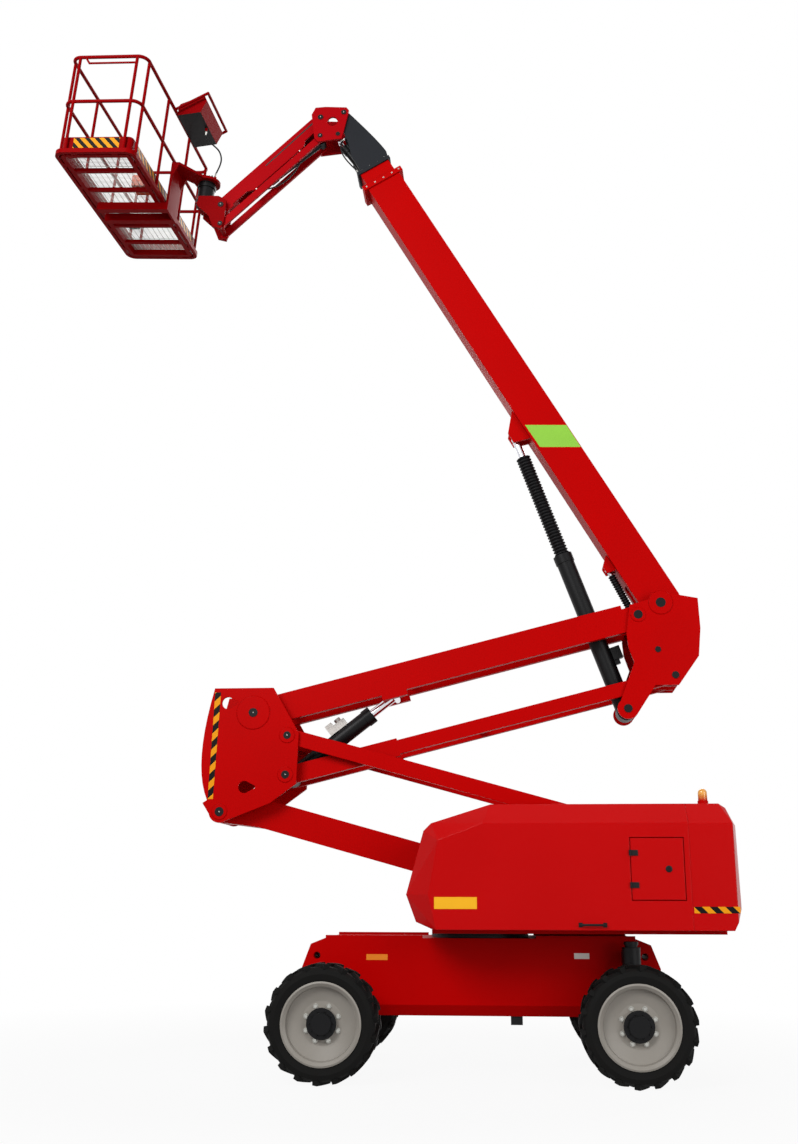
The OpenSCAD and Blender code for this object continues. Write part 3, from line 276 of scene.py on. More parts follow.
def evenPlastic(name, colours):
    # Cast vinyl film and moulded plastic: smooth and even, faded a little; it also gives the black of the
    # painted shade in the jib's groove
    material, tree, shader, place = startMaterial(name, {"Specular IOR Level": 0.3, "Roughness": 0.38})
    fadeMm = 250
    fade = addNode(tree, "TexNoise", {"Scale": 1000 / fadeMm, "Detail": 3.0}, {"Vector": place})
    finishSurface(tree, shader, fade, colours)
    return material


rubber = tyreRubber(tyreLook)
hoseRubber = satinBlack("hoseRubber", ("#070708", "#101012"))
bootRubber = satinBlack("bellowsRubber", ("#060607", "#0E0E10"))
blackPlastic = satinBlack("blackNylon", ("#060607", "#0E0E10"))
chrome = bareMetal("chromedRod", ("#E4E4E8", "#D2D2D8"), (0.084, 0.168), 40)
zinc = bareMetal("zincPlatedSteel", ("#B9B9B4", "#A2A19B"), (0.245, 0.49), 15)
castAluminium = bareMetal("castAluminium", ("#B4B0AC", "#97938F"), (0.315, 0.63), 20)
deckMetal = bareMetal("galvanisedMesh", ("#C2C2BD", "#ADADA8"), (0.35, 0.7), 60)
amber = amberLens()
greenFilm = evenPlastic("greenVinyl", ("#8CC63F", "#84BC3A"))
yellowFilm = evenPlastic("yellowVinyl", ("#F2B318", "#EAA912"))
orangeFilm = evenPlastic("orangeVinyl", ("#E8841C", "#DE7A16"))
paleFilm = evenPlastic("paleVinyl", ("#E6E4DE", "#DAD8D2"))
# Black of the painted shade laid in the jib's groove, not a real film
grooveShadeFilm = evenPlastic("paintedGrooveShade", ("#141414", "#1B1B1B"))
orangePlastic = evenPlastic("orangePolyethylene", ("#E0561C", "#D44D16"))
redNylon = evenPlastic("redNylon", ("#C8100C", "#BC0C0A"))
print("materials made:", len(bpy.data.materials))

# Finish of every CAD node: by its name, by the end of its name, then by the start of it
nodeFinish = {
    "boom_nose": noseSteel, "beacon": amber, "platform_deck": deckMetal, "tool_box": orangePlastic,
    "battery_pack": blackPlastic, "foot_switch": blackPlastic,
    "left_hood": redHood, "right_hood": redHood, "counterweight": redHood, "service_door": redHood,
    "rotator": blackSteel, "front_axle": blackSteel, "rear_axle": blackSteel, "slew_ring": blackSteel,
}
endings = {"_barrel": blackSteel, "_rod": chrome, "_bellows": bootRubber, "_hose": hoseRubber}
starts = {"tyre_": rubber, "rim_": rimSteel, "knuckle_": blackSteel, "jib_": jibRed,
          "platform_": platformRed, "console_": platformRed, "control_": platformRed}


def finishOf(nodeName):
    if nodeName in nodeFinish:
        return nodeFinish[nodeName]
    for ending, material in endings.items():
        if nodeName.endswith(ending):
            return material
    for start, material in starts.items():
        if nodeName.startswith(start):
            return material
    return redSteel


for nodeName, thing in nodes.items():
    thing.data.materials.clear()
    thing.data.materials.append(finishOf(nodeName))


def repaint(nodeName, material, wanted):
    # Gives another finish to the faces of a CAD node that the test picks by centre and normal
    mesh = nodes[nodeName].data
    mesh.materials.append(material)
    for face in mesh.polygons:
        if wanted(Vector(face.center), Vector(face.normal)):
            face.material_index = len(mesh.materials) - 1


# Dark ends of the pins, beyond these half widths and above the turntable's deck
pinEnds = {"riser_knuckle": 0.364, "boom_knuckle": 0.2725, "jib_base": 0.1625, "platform_head": 0.1625,
           "turntable_frame": 0.3975}
deckTop = 1.36
sideways = 0.9
for nodeName, half in pinEnds.items():
    repaint(nodeName, blackSteel,
            lambda c, n: abs(c.y - middle.y) > half and abs(n.y) > sideways and c.z > deckTop)

# Black drive hubs in the rims
corners = ("front_left", "front_right", "rear_left", "rear_right")
hubRadius = 0.134
for corner in corners:
    hub = pinAt("wheel_spin_" + corner)
    repaint("rim_" + corner, blackSteel, lambda c, n: math.hypot(c.x - hub.x, c.z - hub.z) < hubRadius)

# Painted shade: the console's downward-facing faces are painted black. Hinges that stand proud of the hood
# are black, and the beacon has a red foot
consoleShadeFacing = -0.6
hoodHalf = 1.15
hingeProud = 0.0005
beaconFoot = 0.42
beaconLow, beaconHigh = (corner[2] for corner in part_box("beacon"))
lensLow = beaconLow + beaconFoot * (beaconHigh - beaconLow)
# Painted shade: faces of the console that point downward get the black nylon finish
repaint("control_console", blackPlastic, lambda c, n: n.z < consoleShadeFacing)
repaint("service_door", blackPlastic, lambda c, n: c.y < middle.y - hoodHalf - hingeProud)
repaint("beacon", redSteel, lambda c, n: c.z < lensLow)

# Cast valve on the riser cylinder's barrel
riserValve = {"from": 0.57, "to": 0.8, "above": 0.088}
barrelWay = Vector(joints["riser_rod_slide"]["axis"])
barrelUp = Vector((-barrelWay.z, 0, barrelWay.x))


def isValve(centre, normal):
    reach = centre - pinAt("riser_barrel_swing")
    inside = riserValve["from"] < reach.dot(barrelWay) < riserValve["to"]
    return inside and reach.dot(barrelUp) > riserValve["above"]


repaint("riser_barrel", castAluminium, isValve)
print("finishes set")


# Small mesh makers: each gives a list of points and a list of faces
def across(direction):
    direction = Vector(direction).normalized()
    other = Vector((0, 0, 1)) if abs(direction.z) < 0.9 else Vector((1, 0, 0))
    first = direction.cross(other).normalized()
    return first, direction.cross(first)


def ringFaces(rings, sides):
    # Faces between rings of points that follow each other, with both ends closed
    faces = []
    for r in range(rings - 1):
        low, high = r * sides, (r + 1) * sides
        for i in range(sides):
            j = (i + 1) % sides
            faces.append((low + i, low + j, high + j, high + i))
    faces.append(tuple(reversed(range(sides))))
    faces.append(tuple(range((rings - 1) * sides, rings * sides)))
    return faces


def lathe(profile, origin, axis, sides):
    # Profile of radius and height turned about an axis
    origin, axis = Vector(origin), Vector(axis).normalized()
    first, second = across(axis)
    points = []
    for radius, height in profile:
        for i in range(sides):
            a = 2 * math.pi * i / sides
            points.append(origin + axis * height + radius * (first * math.cos(a) + second * math.sin(a)))
    return points, ringFaces(len(profile), sides)


def prism(outline, push):
    push = Vector(push)
    points = [Vector(p) for p in outline] + [Vector(p) + push for p in outline]
    count = len(outline)
    faces = [tuple(range(count)), tuple(reversed(range(count, 2 * count)))]
    for i in range(count):
        j = (i + 1) % count
        faces.append((j, i, count + i, count + j))
    return points, faces


def block(place, low, high):
    # Box between two corners of the frame that place works in
    sides = [(low[0], low[1]), (high[0], low[1]), (high[0], high[1]), (low[0], high[1])]
    bottom = [place(x, y, low[2]) for x, y in sides]
    return prism(bottom, place(low[0], low[1], high[2]) - bottom[0])


def smoothPath(corners, stepsEach):
    # Catmull-Rom curve through given points
    corners = [Vector(c) for c in corners]
    padded = [2 * corners[0] - corners[1]] + corners + [2 * corners[-1] - corners[-2]]
    path = []
    for i in range(1, len(padded) - 2):
        a, b, c, d = padded[i - 1:i + 3]
        for k in range(stepsEach):
            t = k / stepsEach
            path.append(0.5 * (2 * b + (c - a) * t + (2 * a - 5 * b + 4 * c - d) * t * t
                               + (3 * b - a - 3 * c + d) * t ** 3))
    path.append(corners[-1])
    return path


def tube(path, radius, sides):
    path = [Vector(p) for p in path]
    first, second = across(path[1] - path[0])
    points = []
    for i, p in enumerate(path):
        ahead = (path[min(i + 1, len(path) - 1)] - path[max(i - 1, 0)]).normalized()
        first = (first - ahead * first.dot(ahead)).normalized()
        second = ahead.cross(first)
        for k in range(sides):
            a = 2 * math.pi * k / sides
            points.append(p + radius * (first * math.cos(a) + second * math.sin(a)))
    return points, ringFaces(len(path), sides)


def joined(shapes):
    points, faces = [], []
    for shapePoints, shapeFaces in shapes:
        start = len(points)
        points.extend(shapePoints)
        faces.extend(tuple(start + i for i in face) for face in shapeFaces)
    return points, faces


# Washer and chamfered hexagon head, as shares of the bolt's size
washerShape = [(0.2, 0), (1.05, 0), (1.05, 0.16), (0.2, 0.16)]
headShape = [(0.9, 0.16), (0.9, 0.66), (0.72, 0.8)]


def hexBolt(place, axis, size):
    washer = lathe([(r * size, h * size) for r, h in washerShape], place, axis, 16)
    head = lathe([(r * size, h * size) for r, h in headShape], place, axis, 6)
    return joined([washer, head])


def boltRing(centre, first, second, axis, ring):
    bolts = []
    for i in range(ring["count"]):
        a = 2 * math.pi * (i + ring["start"]) / ring["count"]
        place = centre + ring["radius"] * (first * math.cos(a) + second * math.sin(a))
        bolts.append(hexBolt(place, axis, ring["size"]))
    return joined(bolts)


def addPiece(name, shape, material, body, smooth=30, replaced=()):
    # Edges sharper than smooth, in degrees, stay sharp
    mesh = bpy.data.meshes.new(name)
    mesh.from_pydata([tuple(p) for p in shape[0]], [], shape[1])
    cleaner = bmesh.new()
    cleaner.from_mesh(mesh)
    bmesh.ops.recalc_face_normals(cleaner, faces=cleaner.faces)
    cleaner.to_mesh(mesh)
    cleaner.free()
    for face in mesh.polygons:
        face.use_smooth = True
    mesh.set_sharp_from_angle(angle=math.radians(smooth))
    mesh.materials.append(material)
    piece = bpy.data.objects.new(name, mesh)
    bpy.context.scene.collection.objects.link(piece)
    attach(piece, body)
    if replaced:
        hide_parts(*replaced)
    return piece


# Free hoses: the routes of the CAD solids, in the frames of jib, platform and boom nose
hoses = [
    {"name": "jib_hose", "body": "jib_arm", "place": onJib, "y": -0.075, "diameter": 0.016,
     "route": [
        (0.440, -0.100), (0.440, -0.122), (0.452, -0.150), (0.477, -0.176), (0.507, -0.200),
        (0.545, -0.222), (0.590, -0.241), (0.640, -0.256), (0.690, -0.266), (0.740, -0.272),
        (0.790, -0.273), (0.840, -0.269), (0.889, -0.260), (0.935, -0.246), (0.978, -0.228),
        (1.017, -0.206), (1.051, -0.181), (1.083, -0.155), (1.110, -0.128), (1.120, -0.108),
        (1.120, -0.100)]},
    {"name": "platform_hose", "body": "platform", "place": onPlatform, "y": -0.06, "diameter": 0.018,
     "route": [
        (-0.130, 0.400), (-0.130, 0.430), (-0.120, 0.465), (-0.108, 0.500), (-0.096, 0.540),
        (-0.088, 0.580), (-0.086, 0.620), (-0.092, 0.660), (-0.106, 0.700), (-0.128, 0.740),
        (-0.158, 0.775), (-0.192, 0.805), (-0.228, 0.835), (-0.262, 0.865), (-0.292, 0.900),
        (-0.312, 0.940), (-0.320, 0.970), (-0.320, 1.000)]},
    {"name": "nose_hose", "body": "boom_extension", "place": onBoom, "y": -0.1105, "diameter": 0.016,
     "route": [
        (6.000, -0.150), (6.030, -0.150), (6.070, -0.157), (6.115, -0.167), (6.165, -0.176),
        (6.215, -0.183), (6.265, -0.187), (6.312, -0.186), (6.355, -0.179), (6.393, -0.166),
        (6.425, -0.147), (6.452, -0.122), (6.472, -0.096), (6.477, -0.080), (6.477, -0.070)]},
]
ferruleShape = [(0.004, 0.0), (0.013, 0.0), (0.013, 0.014), (0.0105, 0.018), (0.0105, 0.045), (0.0095, 0.048),
                (0.004, 0.048)]


def addHose(hose):
    path = smoothPath([hose["place"](a, hose["y"], b) for a, b in hose["route"]], 3)
    piece = addPiece(hose["name"] + "_tube", tube(path, hose["diameter"] / 2, 14), hoseRubber, hose["body"],
                     smooth=60, replaced=[hose["name"]])
    ends = [lathe(ferruleShape, path[0], path[4] - path[0], 12),
            lathe(ferruleShape, path[-1], path[-5] - path[-1], 12)]
    ferrule = addPiece(hose["name"] + "_ferrules", joined(ends), zinc, hose["body"], smooth=35)


for hose in hoses:
    addHose(hose)
print("hoses made")

# Ribbed boots over the lift and level rods, drawn as fixed shapes carried by the rods, though the real ones
# fold up as the rods go in
boots = [
    {"node": "lift_bellows", "body": "lift_rod", "joint": "lift_rod_slide", "folds": 34, "outer": 0.078,
     "inner": 0.06, "trim": 0.085},
    {"node": "level_bellows", "body": "level_rod", "joint": "level_rod_slide", "folds": 14, "outer": 0.041,
     "inner": 0.03, "trim": 0.0},
]
bootFold = {"crease": 0.06, "shoulder": 0.1, "crown": 0.985, "neck": 0.8}  # shares of pitch and radius


def addBoot(boot):
    axis = Vector(joints[boot["joint"]]["axis"])
    points = [Vector(v.co) for v in nodes[boot["node"]].data.vertices]
    heights = [axis.dot(p) for p in points]
    length = max(heights) - boot["trim"] - min(heights)
    centre = sum(points, Vector()) / len(points)
    foot = centre + axis * (min(heights) - axis.dot(centre))
    foot.y = middle.y
    pitch = length / boot["folds"]
    inner, outer = boot["inner"], boot["outer"]
    profile = [(inner * bootFold["neck"], 0)]
    for i in range(boot["folds"]):
        ridge = (i + 0.5) * pitch
        shoulder = pitch * bootFold["shoulder"]
        profile += [(inner, (i + bootFold["crease"]) * pitch), (outer * bootFold["crown"], ridge - shoulder),
                    (outer, ridge), (outer * bootFold["crown"], ridge + shoulder)]
    profile += [(inner, length - pitch * bootFold["crease"]), (inner * bootFold["neck"], length)]
    piece = addPiece(boot["node"] + "_boot", lathe(profile, foot, axis, 28), bootRubber, boot["body"],
                     smooth=50, replaced=[boot["node"]])
    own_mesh(piece)


for boot in boots:
    addBoot(boot)
print("boots made")

# Platform deck: a welded grating in three panels that lets the light through
deck = {"halfWidth": 0.388, "halfLength": 1.083, "joint": 0.7667, "halfGap": 0.001, "edge": 0.002,
        "crossPitch": 0.026, "longPitch": 0.065, "longInset": 0.02, "bar": 0.003, "thick": 0.0039,
        "longDrop": 0.0005, "longFoot": 0.0002, "cornerStart": 1.045, "cornerSlope": 0.6}


def panelBars(start, end):
    bars = []
    half, bar, foot = deck["halfWidth"], deck["bar"], -deck["thick"]
    # Cross bars, the first and the last flush with the panel's edges, shorter at the rounded corners
    first, last = start + deck["edge"], end - deck["edge"]
    count = round((end - start) / deck["crossPitch"])
    for i in range(count + 1):
        y = first + i * (last - first) / count
        reach = half - max(0.0, abs(y) - deck["cornerStart"]) * deck["cornerSlope"]
        bars.append(block(onFloor, (-reach, y - bar / 2, foot), (reach, y + bar / 2, 0)))
    # Long bars, a little lower
    inner = half - deck["longInset"]
    count = round(2 * half / deck["longPitch"])
    for i in range(count + 1):
        x = -inner + i * 2 * inner / count
        bars.append(block(onFloor, (x - bar, first, foot + deck["longFoot"]),
                          (x + bar, last, -deck["longDrop"])))
    return bars


near, far = deck["joint"] - deck["halfGap"], deck["joint"] + deck["halfGap"]
panels = [(-deck["halfLength"], -far), (-near, near), (far, deck["halfLength"])]
deckBars = [bar for start, end in panels for bar in panelBars(start, end)]
addPiece("deck_grating", joined(deckBars), deckMetal, "platform", replaced=["platform_deck"])
print("deck made:", len(deckBars), "bars")

# Directions of the platform and the boom
floorAlong = (onFloor(1, 0, 0) - onFloor(0, 0, 0)).normalized()
floorSide = (onFloor(0, 1, 0) - onFloor(0, 0, 0)).normalized()
floorUp = floorAlong.cross(floorSide)
boomWay = (onBoom(1, 0, 0) - onBoom(0, 0, 0)).normalized()
right, back, up = Vector((1, 0, 0)), Vector((0, 1, 0)), Vector((0, 0, 1))


def rectangle(left, low, right, high):
    return [(left, low), (right, low), (right, high), (left, high)]


# Vinyl films, and a black sheet of painted shade in the jib's groove, each a thin plate just off a flat face,
# which lies at half from the frame's middle
filmSheet = {"lift": 0.0002, "thick": 0.0008}
knuckleStripes = hazardFilm("knuckleStripes", (0.04, 0, 1), (-1, 0, 0), 78)
tailStripes = hazardFilm("tailStripes", (1, 0, 0), (0, 0, 1), 68)
endStripes = hazardFilm("platformEndStripes", floorAlong, floorUp, 55)
sideStripes = hazardFilm("platformSideStripes", floorSide, floorUp, 55)
films = [
    {"name": "riser_knuckle_film", "material": knuckleStripes, "body": "riser_knuckle", "place": spot,
     "half": 0.355, "corners": [(-2.635, 3.591), (-2.576, 3.591), (-2.618, 2.526), (-2.672, 2.526)]},
    {"name": "counterweight_film", "material": tailStripes, "body": "turntable", "place": spot,
     "half": hoodHalf, "corners": rectangle(1.91, 1.456, 2.31, 1.512)},
    {"name": "boom_green_film", "material": greenFilm, "body": "main_boom", "place": onBoom,
     "half": 0.15, "corners": [(2.381, -0.143), (2.15, 0.229), (1.86, 0.229), (2.085, -0.137)]},
    {"name": "hood_label", "material": yellowFilm, "body": "turntable", "place": spot,
     "half": hoodHalf, "corners": rectangle(-0.385, 1.488, -0.002, 1.591)},
    {"name": "chassis_label_front", "material": orangeFilm, "body": "chassis", "place": spot,
     "half": 0.5, "corners": rectangle(-1.06, 1.016, -0.86, 1.068)},
    {"name": "chassis_label_rear", "material": paleFilm, "body": "chassis", "place": spot,
     "half": 0.5, "corners": rectangle(0.88, 1.035, 1.02, 1.086)},
    # Painted shade: a black sheet over the jib's groove, where shade falls
    {"name": "jib_groove_painted_shade", "material": grooveShadeFilm, "body": "jib_arm", "place": onJib, "thick": 0.0006,
     "half": 0.085, "corners": [(0.083, 0.042), (0.845, 0.030), (0.845, 0.044), (0.083, 0.058)]},
    {"name": "platform_end_film", "material": endStripes, "body": "platform", "place": onFloor,
     "half": 1.09, "corners": rectangle(-0.26, 0.02, 0.26, 0.14)},
    {"name": "platform_side_film", "material": sideStripes, "body": "platform", "place": onFloorSide,
     "half": 0.395, "corners": rectangle(-0.96, 0.02, 0.96, 0.14)},
]
for film in films:
    place = film["place"]
    face = -film["half"] - filmSheet["lift"]
    push = (place(0, -1, 0) - place(0, 0, 0)) * film.get("thick", filmSheet["thick"])
    sheet = prism([place(a, face, b) for a, b in film["corners"]], push)
    addPiece(film["name"], sheet, film["material"], film["body"], smooth=35)
print("films laid:", len(films))

# Weld beads round the bosses, as steps out from the boss, and grease nipples on the pins
weldShape = [(-0.002, 0), (0.001, 0.004), (0.005, 0.0035), (0.008, 0)]
nippleShape = [(0.007, 0), (0.007, 0.004), (0.0035, 0.006), (0.0035, 0.011), (0.005, 0.013), (0.003, 0.016)]
linkStep = Vector((0.66, 0, 0.75))  # from the lower riser's pin to the lower link's
headStep = Vector((0, 0, -0.24))  # from the jib arm's pin to the jib link's


def beside(pin, side, half):
    return Vector((pin.x, middle.y + side * half, pin.z))


upperRiserPin, upperLinkPin = pinAt("upper_riser_lift"), pinAt("upper_link_swing")
lowerRiserPin = pinAt("riser_knuckle_level")
lowerLinkPin = lowerRiserPin + linkStep
knucklePins = [upperRiserPin, lowerLinkPin, upperLinkPin, lowerRiserPin]
jibPins = [pinAt(n) for n in ("jib_base_level", "jib_lift", "jib_link_swing")]
headPins = [pinAt("platform_head_level"), pinAt("platform_head_level") + headStep]
welds = [
    {"body": "riser_knuckle", "half": 0.355, "bosses": list(zip(knucklePins, (0.165, 0.074, 0.074, 0.074)))},
    {"body": "boom_knuckle", "half": 0.265,
     "bosses": [(pinAt("boom_lift"), 0.118), (pinAt("boom_knuckle_level"), 0.072)]},
]
for weld in welds:
    beads = []
    for pin, radius in weld["bosses"]:
        bead = [(radius + step, height) for step, height in weldShape]
        beads += [lathe(bead, beside(pin, side, weld["half"]), (0, side, 0), 48) for side in (-1, 1)]
    addPiece(weld["body"] + "_welds", joined(beads), redSteel, weld["body"], smooth=60)
greased = [
    {"body": "riser_knuckle", "pins": knucklePins, "half": 0.365},
    {"body": "jib_base", "pins": jibPins, "half": 0.163},
    {"body": "platform_head", "pins": headPins, "half": 0.163},
]
for grease in greased:
    nipples = [lathe(nippleShape, beside(pin, side, grease["half"]), (0, side, 0), 10)
               for pin in grease["pins"] for side in (-1, 1)]
    addPiece(grease["body"] + "_nipples", joined(nipples), zinc, grease["body"], smooth=40)
print("welds and nipples made")

# Wheels: nuts on the dish, cover bolts on the hub
wheelNuts = {"count": 8, "start": 0.5, "radius": 0.155, "out": 0.0725, "size": 0.022}
hubBolts = {"count": 10, "start": 0, "radius": 0.108, "out": 0.1225, "size": 0.009}
for corner in corners:
    hub = pinAt("wheel_spin_" + corner)
    out = -back if "left" in corner else back
    nuts = boltRing(hub + out * wheelNuts["out"], right, up, out, wheelNuts)
    addPiece("wheel_nuts_" + corner, nuts, zinc, "wheel_" + corner)
    bolts = boltRing(hub + out * hubBolts["out"], right, up, out, hubBolts)
    addPiece("hub_bolts_" + corner, bolts, blackSteel, "wheel_" + corner)
print("wheel nuts made")

# Bolt rows on the boom's collar and the nose flange, bolt circle of the slew ring
collarBolts = {"along": 5.77, "half": 0.168, "ups": (-0.17, -0.06, 0.05, 0.16, 0.25), "size": 0.009}
flangeBolts = {"along": 6.0, "half": 0.136, "ups": (-0.10, 0.0, 0.10, 0.20), "size": 0.009}
slewBolts = {"count": 36, "start": 0, "radius": 0.457, "height": 1.239, "size": 0.008}


def boltRows(rows, axes):
    # A row on each side of the boom, with the way that its heads point
    bolts = []
    for side, axis in zip((-1, 1), axes):
        for up in rows["ups"]:
            bolts.append(hexBolt(onBoom(rows["along"], side * rows["half"], up), axis, rows["size"]))
    return joined(bolts)


addPiece("collar_bolts", boltRows(collarBolts, (-back, back)), zinc, "main_boom")
addPiece("flange_bolts", boltRows(flangeBolts, (boomWay, boomWay)), zinc, "boom_extension")
bolts = boltRing(spot(0, 0, slewBolts["height"]), right, back, up, slewBolts)
addPiece("slew_bolts", bolts, blackSteel, "chassis")
print("bolts made")

# Handle under the hood's edge: a bent bar between two foot plates
handle = {"left": 0.905, "right": 1.135, "height": 1.354, "out": 0.03, "bend": 0.01, "bendDrop": 0.008,
          "bar": 0.010, "foot": (0.035, 0.04), "footOut": 0.01, "footThick": 0.004}
hoodFace = -hoodHalf - 0.0001  # a hair off the panel
leftEnd, rightEnd, barOut = handle["left"], handle["right"], handle["out"]
bendOut = barOut - handle["bendDrop"]
barRoute = [(leftEnd, 0), (leftEnd, bendOut), (leftEnd + handle["bend"], barOut),
            (rightEnd - handle["bend"], barOut), (rightEnd, bendOut), (rightEnd, 0)]
shapes = [tube([spot(x, -hoodHalf - out, handle["height"]) for x, out in barRoute], handle["bar"], 12)]
footWide, footHigh = handle["foot"]
footLow, footTop = handle["height"] - footHigh / 2, handle["height"] + footHigh / 2
for left in (leftEnd - handle["footOut"], rightEnd + handle["footOut"] - footWide):
    foot = rectangle(left, footLow, left + footWide, footTop)
    shapes.append(prism([spot(x, hoodFace, z) for x, z in foot], (0, -handle["footThick"], 0)))
addPiece("hood_handle", joined(shapes), blackPlastic, "turntable", smooth=40)

# Turn latch on the service door, and a small box under the chassis
latch = {"x": 1.708, "height": 1.836, "shape": [
    (0.006, 0), (0.030, 0), (0.030, 0.004), (0.026, 0.007), (0.014, 0.007), (0.012, 0.003), (0.004, 0.003)]}
turnLatch = lathe(latch["shape"], spot(latch["x"], hoodFace, latch["height"]), -back, 28)
addPiece("door_latch", turnLatch, blackPlastic, "service_door", smooth=40)
chassisBox = {"front": -0.42, "deep": 0.12, "corners": rectangle(0.284, 0.442, 0.393, 0.5199)}
box = prism([spot(x, chassisBox["front"], z) for x, z in chassisBox["corners"]], back * chassisBox["deep"])
addPiece("chassis_box", box, blackPlastic, "chassis")
print("fittings made")

# Valve block on the rotator's arm: a cast body, three coils and its hose fittings, with the arm's bolts
valve = {
    "armTop": 0.3703, "left": -0.3, "right": -0.19, "front": 0.015, "back": 0.085, "high": 0.06,
    "stations": (-0.278, -0.245, -0.212),
    "coil": [(0.005, 0), (0.014, 0), (0.014, 0.045), (0.008, 0.047), (0.008, 0.058), (0.004, 0.058)],
    "fitting": [(0.004, 0), (0.011, 0), (0.011, 0.012), (0.007, 0.013), (0.007, 0.026), (0.003, 0.026)],
}
armBolts = {"count": 10, "start": 0.5, "radius": 0.132, "size": 0.009}
armTop, valveTop = valve["armTop"], valve["armTop"] + valve["high"]
valveMiddle = (valve["front"] + valve["back"]) / 2
casting = block(onPlatform, (valve["left"], valve["front"], armTop),
                (valve["right"], valve["back"], valveTop))
addPiece("valve_block", casting, castAluminium, "platform")
coils = [lathe(valve["coil"], onPlatform(x, valveMiddle, valveTop), floorUp, 16) for x in valve["stations"]]
addPiece("valve_coils", joined(coils), blackPlastic, "platform", smooth=40)
fittings = [lathe(valve["fitting"], onPlatform(x, valve["front"], armTop + valve["high"] / 2), -floorSide, 6)
            for x in valve["stations"]]
addPiece("valve_fittings", joined(fittings), zinc, "platform")
bolts = boltRing(onPlatform(rotatorX, 0, armTop), floorAlong, floorSide, floorUp, armBolts)
addPiece("arm_bolts", bolts, zinc, "platform")
print("valve block made")

# Console: two levers with rubber boots, a stop knob and a row of switches on its sloping top
console = {"edge": (0.4643, 0.2, 1.22), "slope": (0.926, 0.377)}
lever = {
    "along": 0.13, "half": 0.17,
    "boot": [(0.038, 0), (0.036, 0.006), (0.026, 0.012), (0.028, 0.017), (0.019, 0.023), (0.02, 0.028),
             (0.011, 0.036)],
    "grip": [(0.007, 0.03), (0.007, 0.05), (0.013, 0.056), (0.016, 0.072), (0.013, 0.088), (0.005, 0.093)],
}
stopKnob = {
    "along": 0.09,
    "knob": [(0.012, 0), (0.012, 0.022), (0.026, 0.026), (0.026, 0.034), (0.018, 0.042), (0.004, 0.045)],
    "ring": [(0.030, 0), (0.030, 0.004), (0.024, 0.006), (0.010, 0.006)],
}
switch = {"along": 0.2, "count": 7, "pitch": 0.08,
          "shape": [(0.010, 0), (0.010, 0.004), (0.0035, 0.006), (0.0045, 0.024), (0.003, 0.026)]}
rise = console["slope"]
topUp = (onFloor(-rise[1], 0, rise[0]) - onFloor(0, 0, 0)).normalized()


def onConsole(along, y):
    # Along the sloping top from its operator's edge, y from the console's middle
    x0, y0, z0 = console["edge"]
    return onFloor(x0 + along * rise[0], y0 + y, z0 + along * rise[1])


leverFeet = [onConsole(lever["along"], y) for y in (-lever["half"], lever["half"])]
leverBoots = [lathe(lever["boot"], foot, topUp, 20) for foot in leverFeet]
addPiece("lever_boots", joined(leverBoots), bootRubber, "platform", smooth=60)
grips = [lathe(lever["grip"], foot, topUp, 16) for foot in leverFeet]
addPiece("levers", joined(grips), blackPlastic, "platform", smooth=60)
knobFoot = onConsole(stopKnob["along"], 0)
knob = lathe(stopKnob["knob"], knobFoot, topUp, 24)
addPiece("stop_knob", knob, redNylon, "platform", smooth=50)
knobRing = lathe(stopKnob["ring"], knobFoot, topUp, 24)
addPiece("stop_ring", knobRing, yellowFilm, "platform", smooth=50)
switches = []
for i in range(switch["count"]):
    foot = onConsole(switch["along"], (i - (switch["count"] - 1) / 2) * switch["pitch"])
    switches.append(lathe(switch["shape"], foot, topUp, 12))
addPiece("switches", joined(switches), zinc, "platform", smooth=50)
print("console dressed")

# Soft studio light: a big key from the front left, a fill from the right and one from behind and above
lights = [
    {"name": "key", "place": (-6, -12, 11), "aim": (1, 0, 4), "size": 7, "power": 1700},
    {"name": "fill", "place": (10, -10, 5), "aim": (1, 0, 3), "size": 8, "power": 700},
    {"name": "back", "place": (2, 9, 12), "aim": (1, 0, 4), "size": 8, "power": 900},
]
for light in lights:
    data = bpy.data.lights.new(light["name"], "AREA")
    data.size = light["size"]
    data.energy = light["power"]
    lamp = bpy.data.objects.new(light["name"], data)
    lamp.location = light["place"]
    beam = Vector(light["aim"]) - Vector(light["place"])
    lamp.rotation_euler = beam.to_track_quat("-Z", "Y").to_euler()
    bpy.context.scene.collection.objects.link(lamp)

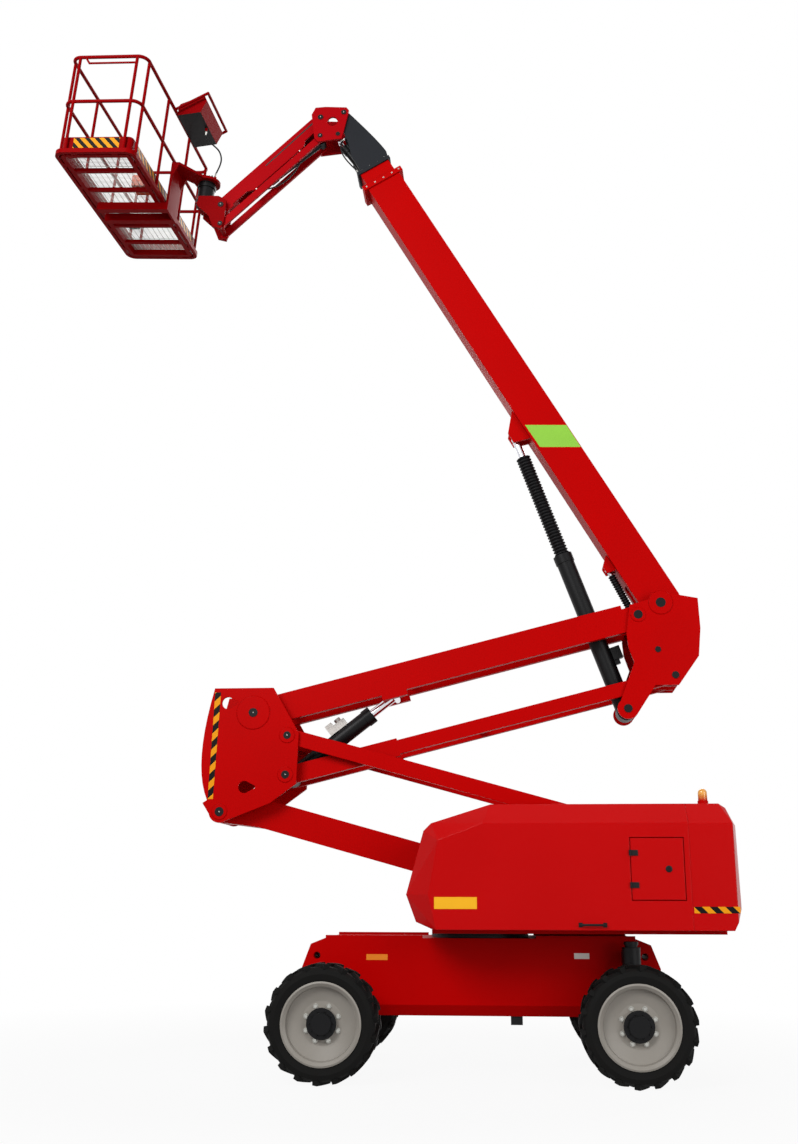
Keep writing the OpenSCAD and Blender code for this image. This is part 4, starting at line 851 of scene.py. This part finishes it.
# White backdrop, and a pale floor that fades into it and keeps the machine's shadow
studio = {"ambient": 0.36, "floorHalf": 60, "floorColour": "#A4A4A4", "glow": 0.93, "fade": (3.0, 8.0)}


def seenByLens(tree):
    # 1 for rays that come straight from the camera, or by a mirror or clear piece
    ray = addNode(tree, "LightPath").outputs
    direct = addNode(tree, "Math", {"operation": "MAXIMUM"},
                     {0: ray["Is Camera Ray"], 1: ray["Is Glossy Ray"]})
    return addNode(tree, "Math", {"operation": "MAXIMUM"}, {0: direct, 1: ray["Is Transmission Ray"]})


def addWorld():
    world = bpy.data.worlds.new("studio")
    bpy.context.scene.world = world
    world.use_nodes = True
    tree = world.node_tree
    backdrop = tree.nodes["Background"]
    backdrop.inputs["Color"].default_value = linear("#FFFFFF")
    strength = addNode(tree, "MapRange", {"To Min": studio["ambient"], "To Max": 1.0},
                       {"Value": seenByLens(tree)})
    tree.links.new(strength.outputs["Result"], backdrop.inputs["Strength"])


def addFloor():
    half = studio["floorHalf"]
    mesh = bpy.data.meshes.new("floor")
    mesh.from_pydata([(x, y, 0) for x, y in rectangle(-half, -half, half, half)], [], [(0, 1, 2, 3)])
    floor = bpy.data.objects.new("floor", mesh)
    bpy.context.scene.collection.objects.link(floor)
    material, tree, shader, place = startMaterial("paleFloor", {
        "Roughness": 0.9, "Specular IOR Level": 0.0, "Base Color": linear(studio["floorColour"])})
    shine = addNode(tree, "Emission", {"Strength": 1.0})
    reach = addNode(tree, "VectorMath", {"operation": "LENGTH"}, {0: place}).outputs["Value"]
    start, end = studio["fade"]
    fade = addNode(tree, "MapRange",
                   {"From Min": start, "From Max": end, "To Min": studio["glow"], "To Max": 1.0},
                   {"Value": reach})
    amount = addNode(tree, "Math", {"operation": "MULTIPLY"}, {0: fade, 1: seenByLens(tree)})
    blend = addNode(tree, "MixShader", {}, {"Fac": amount, 1: shader, 2: shine})
    tree.links.new(blend.outputs["Shader"], tree.nodes["Material Output"].inputs["Surface"])
    mesh.materials.append(material)


addWorld()
addFloor()
print("studio ready")
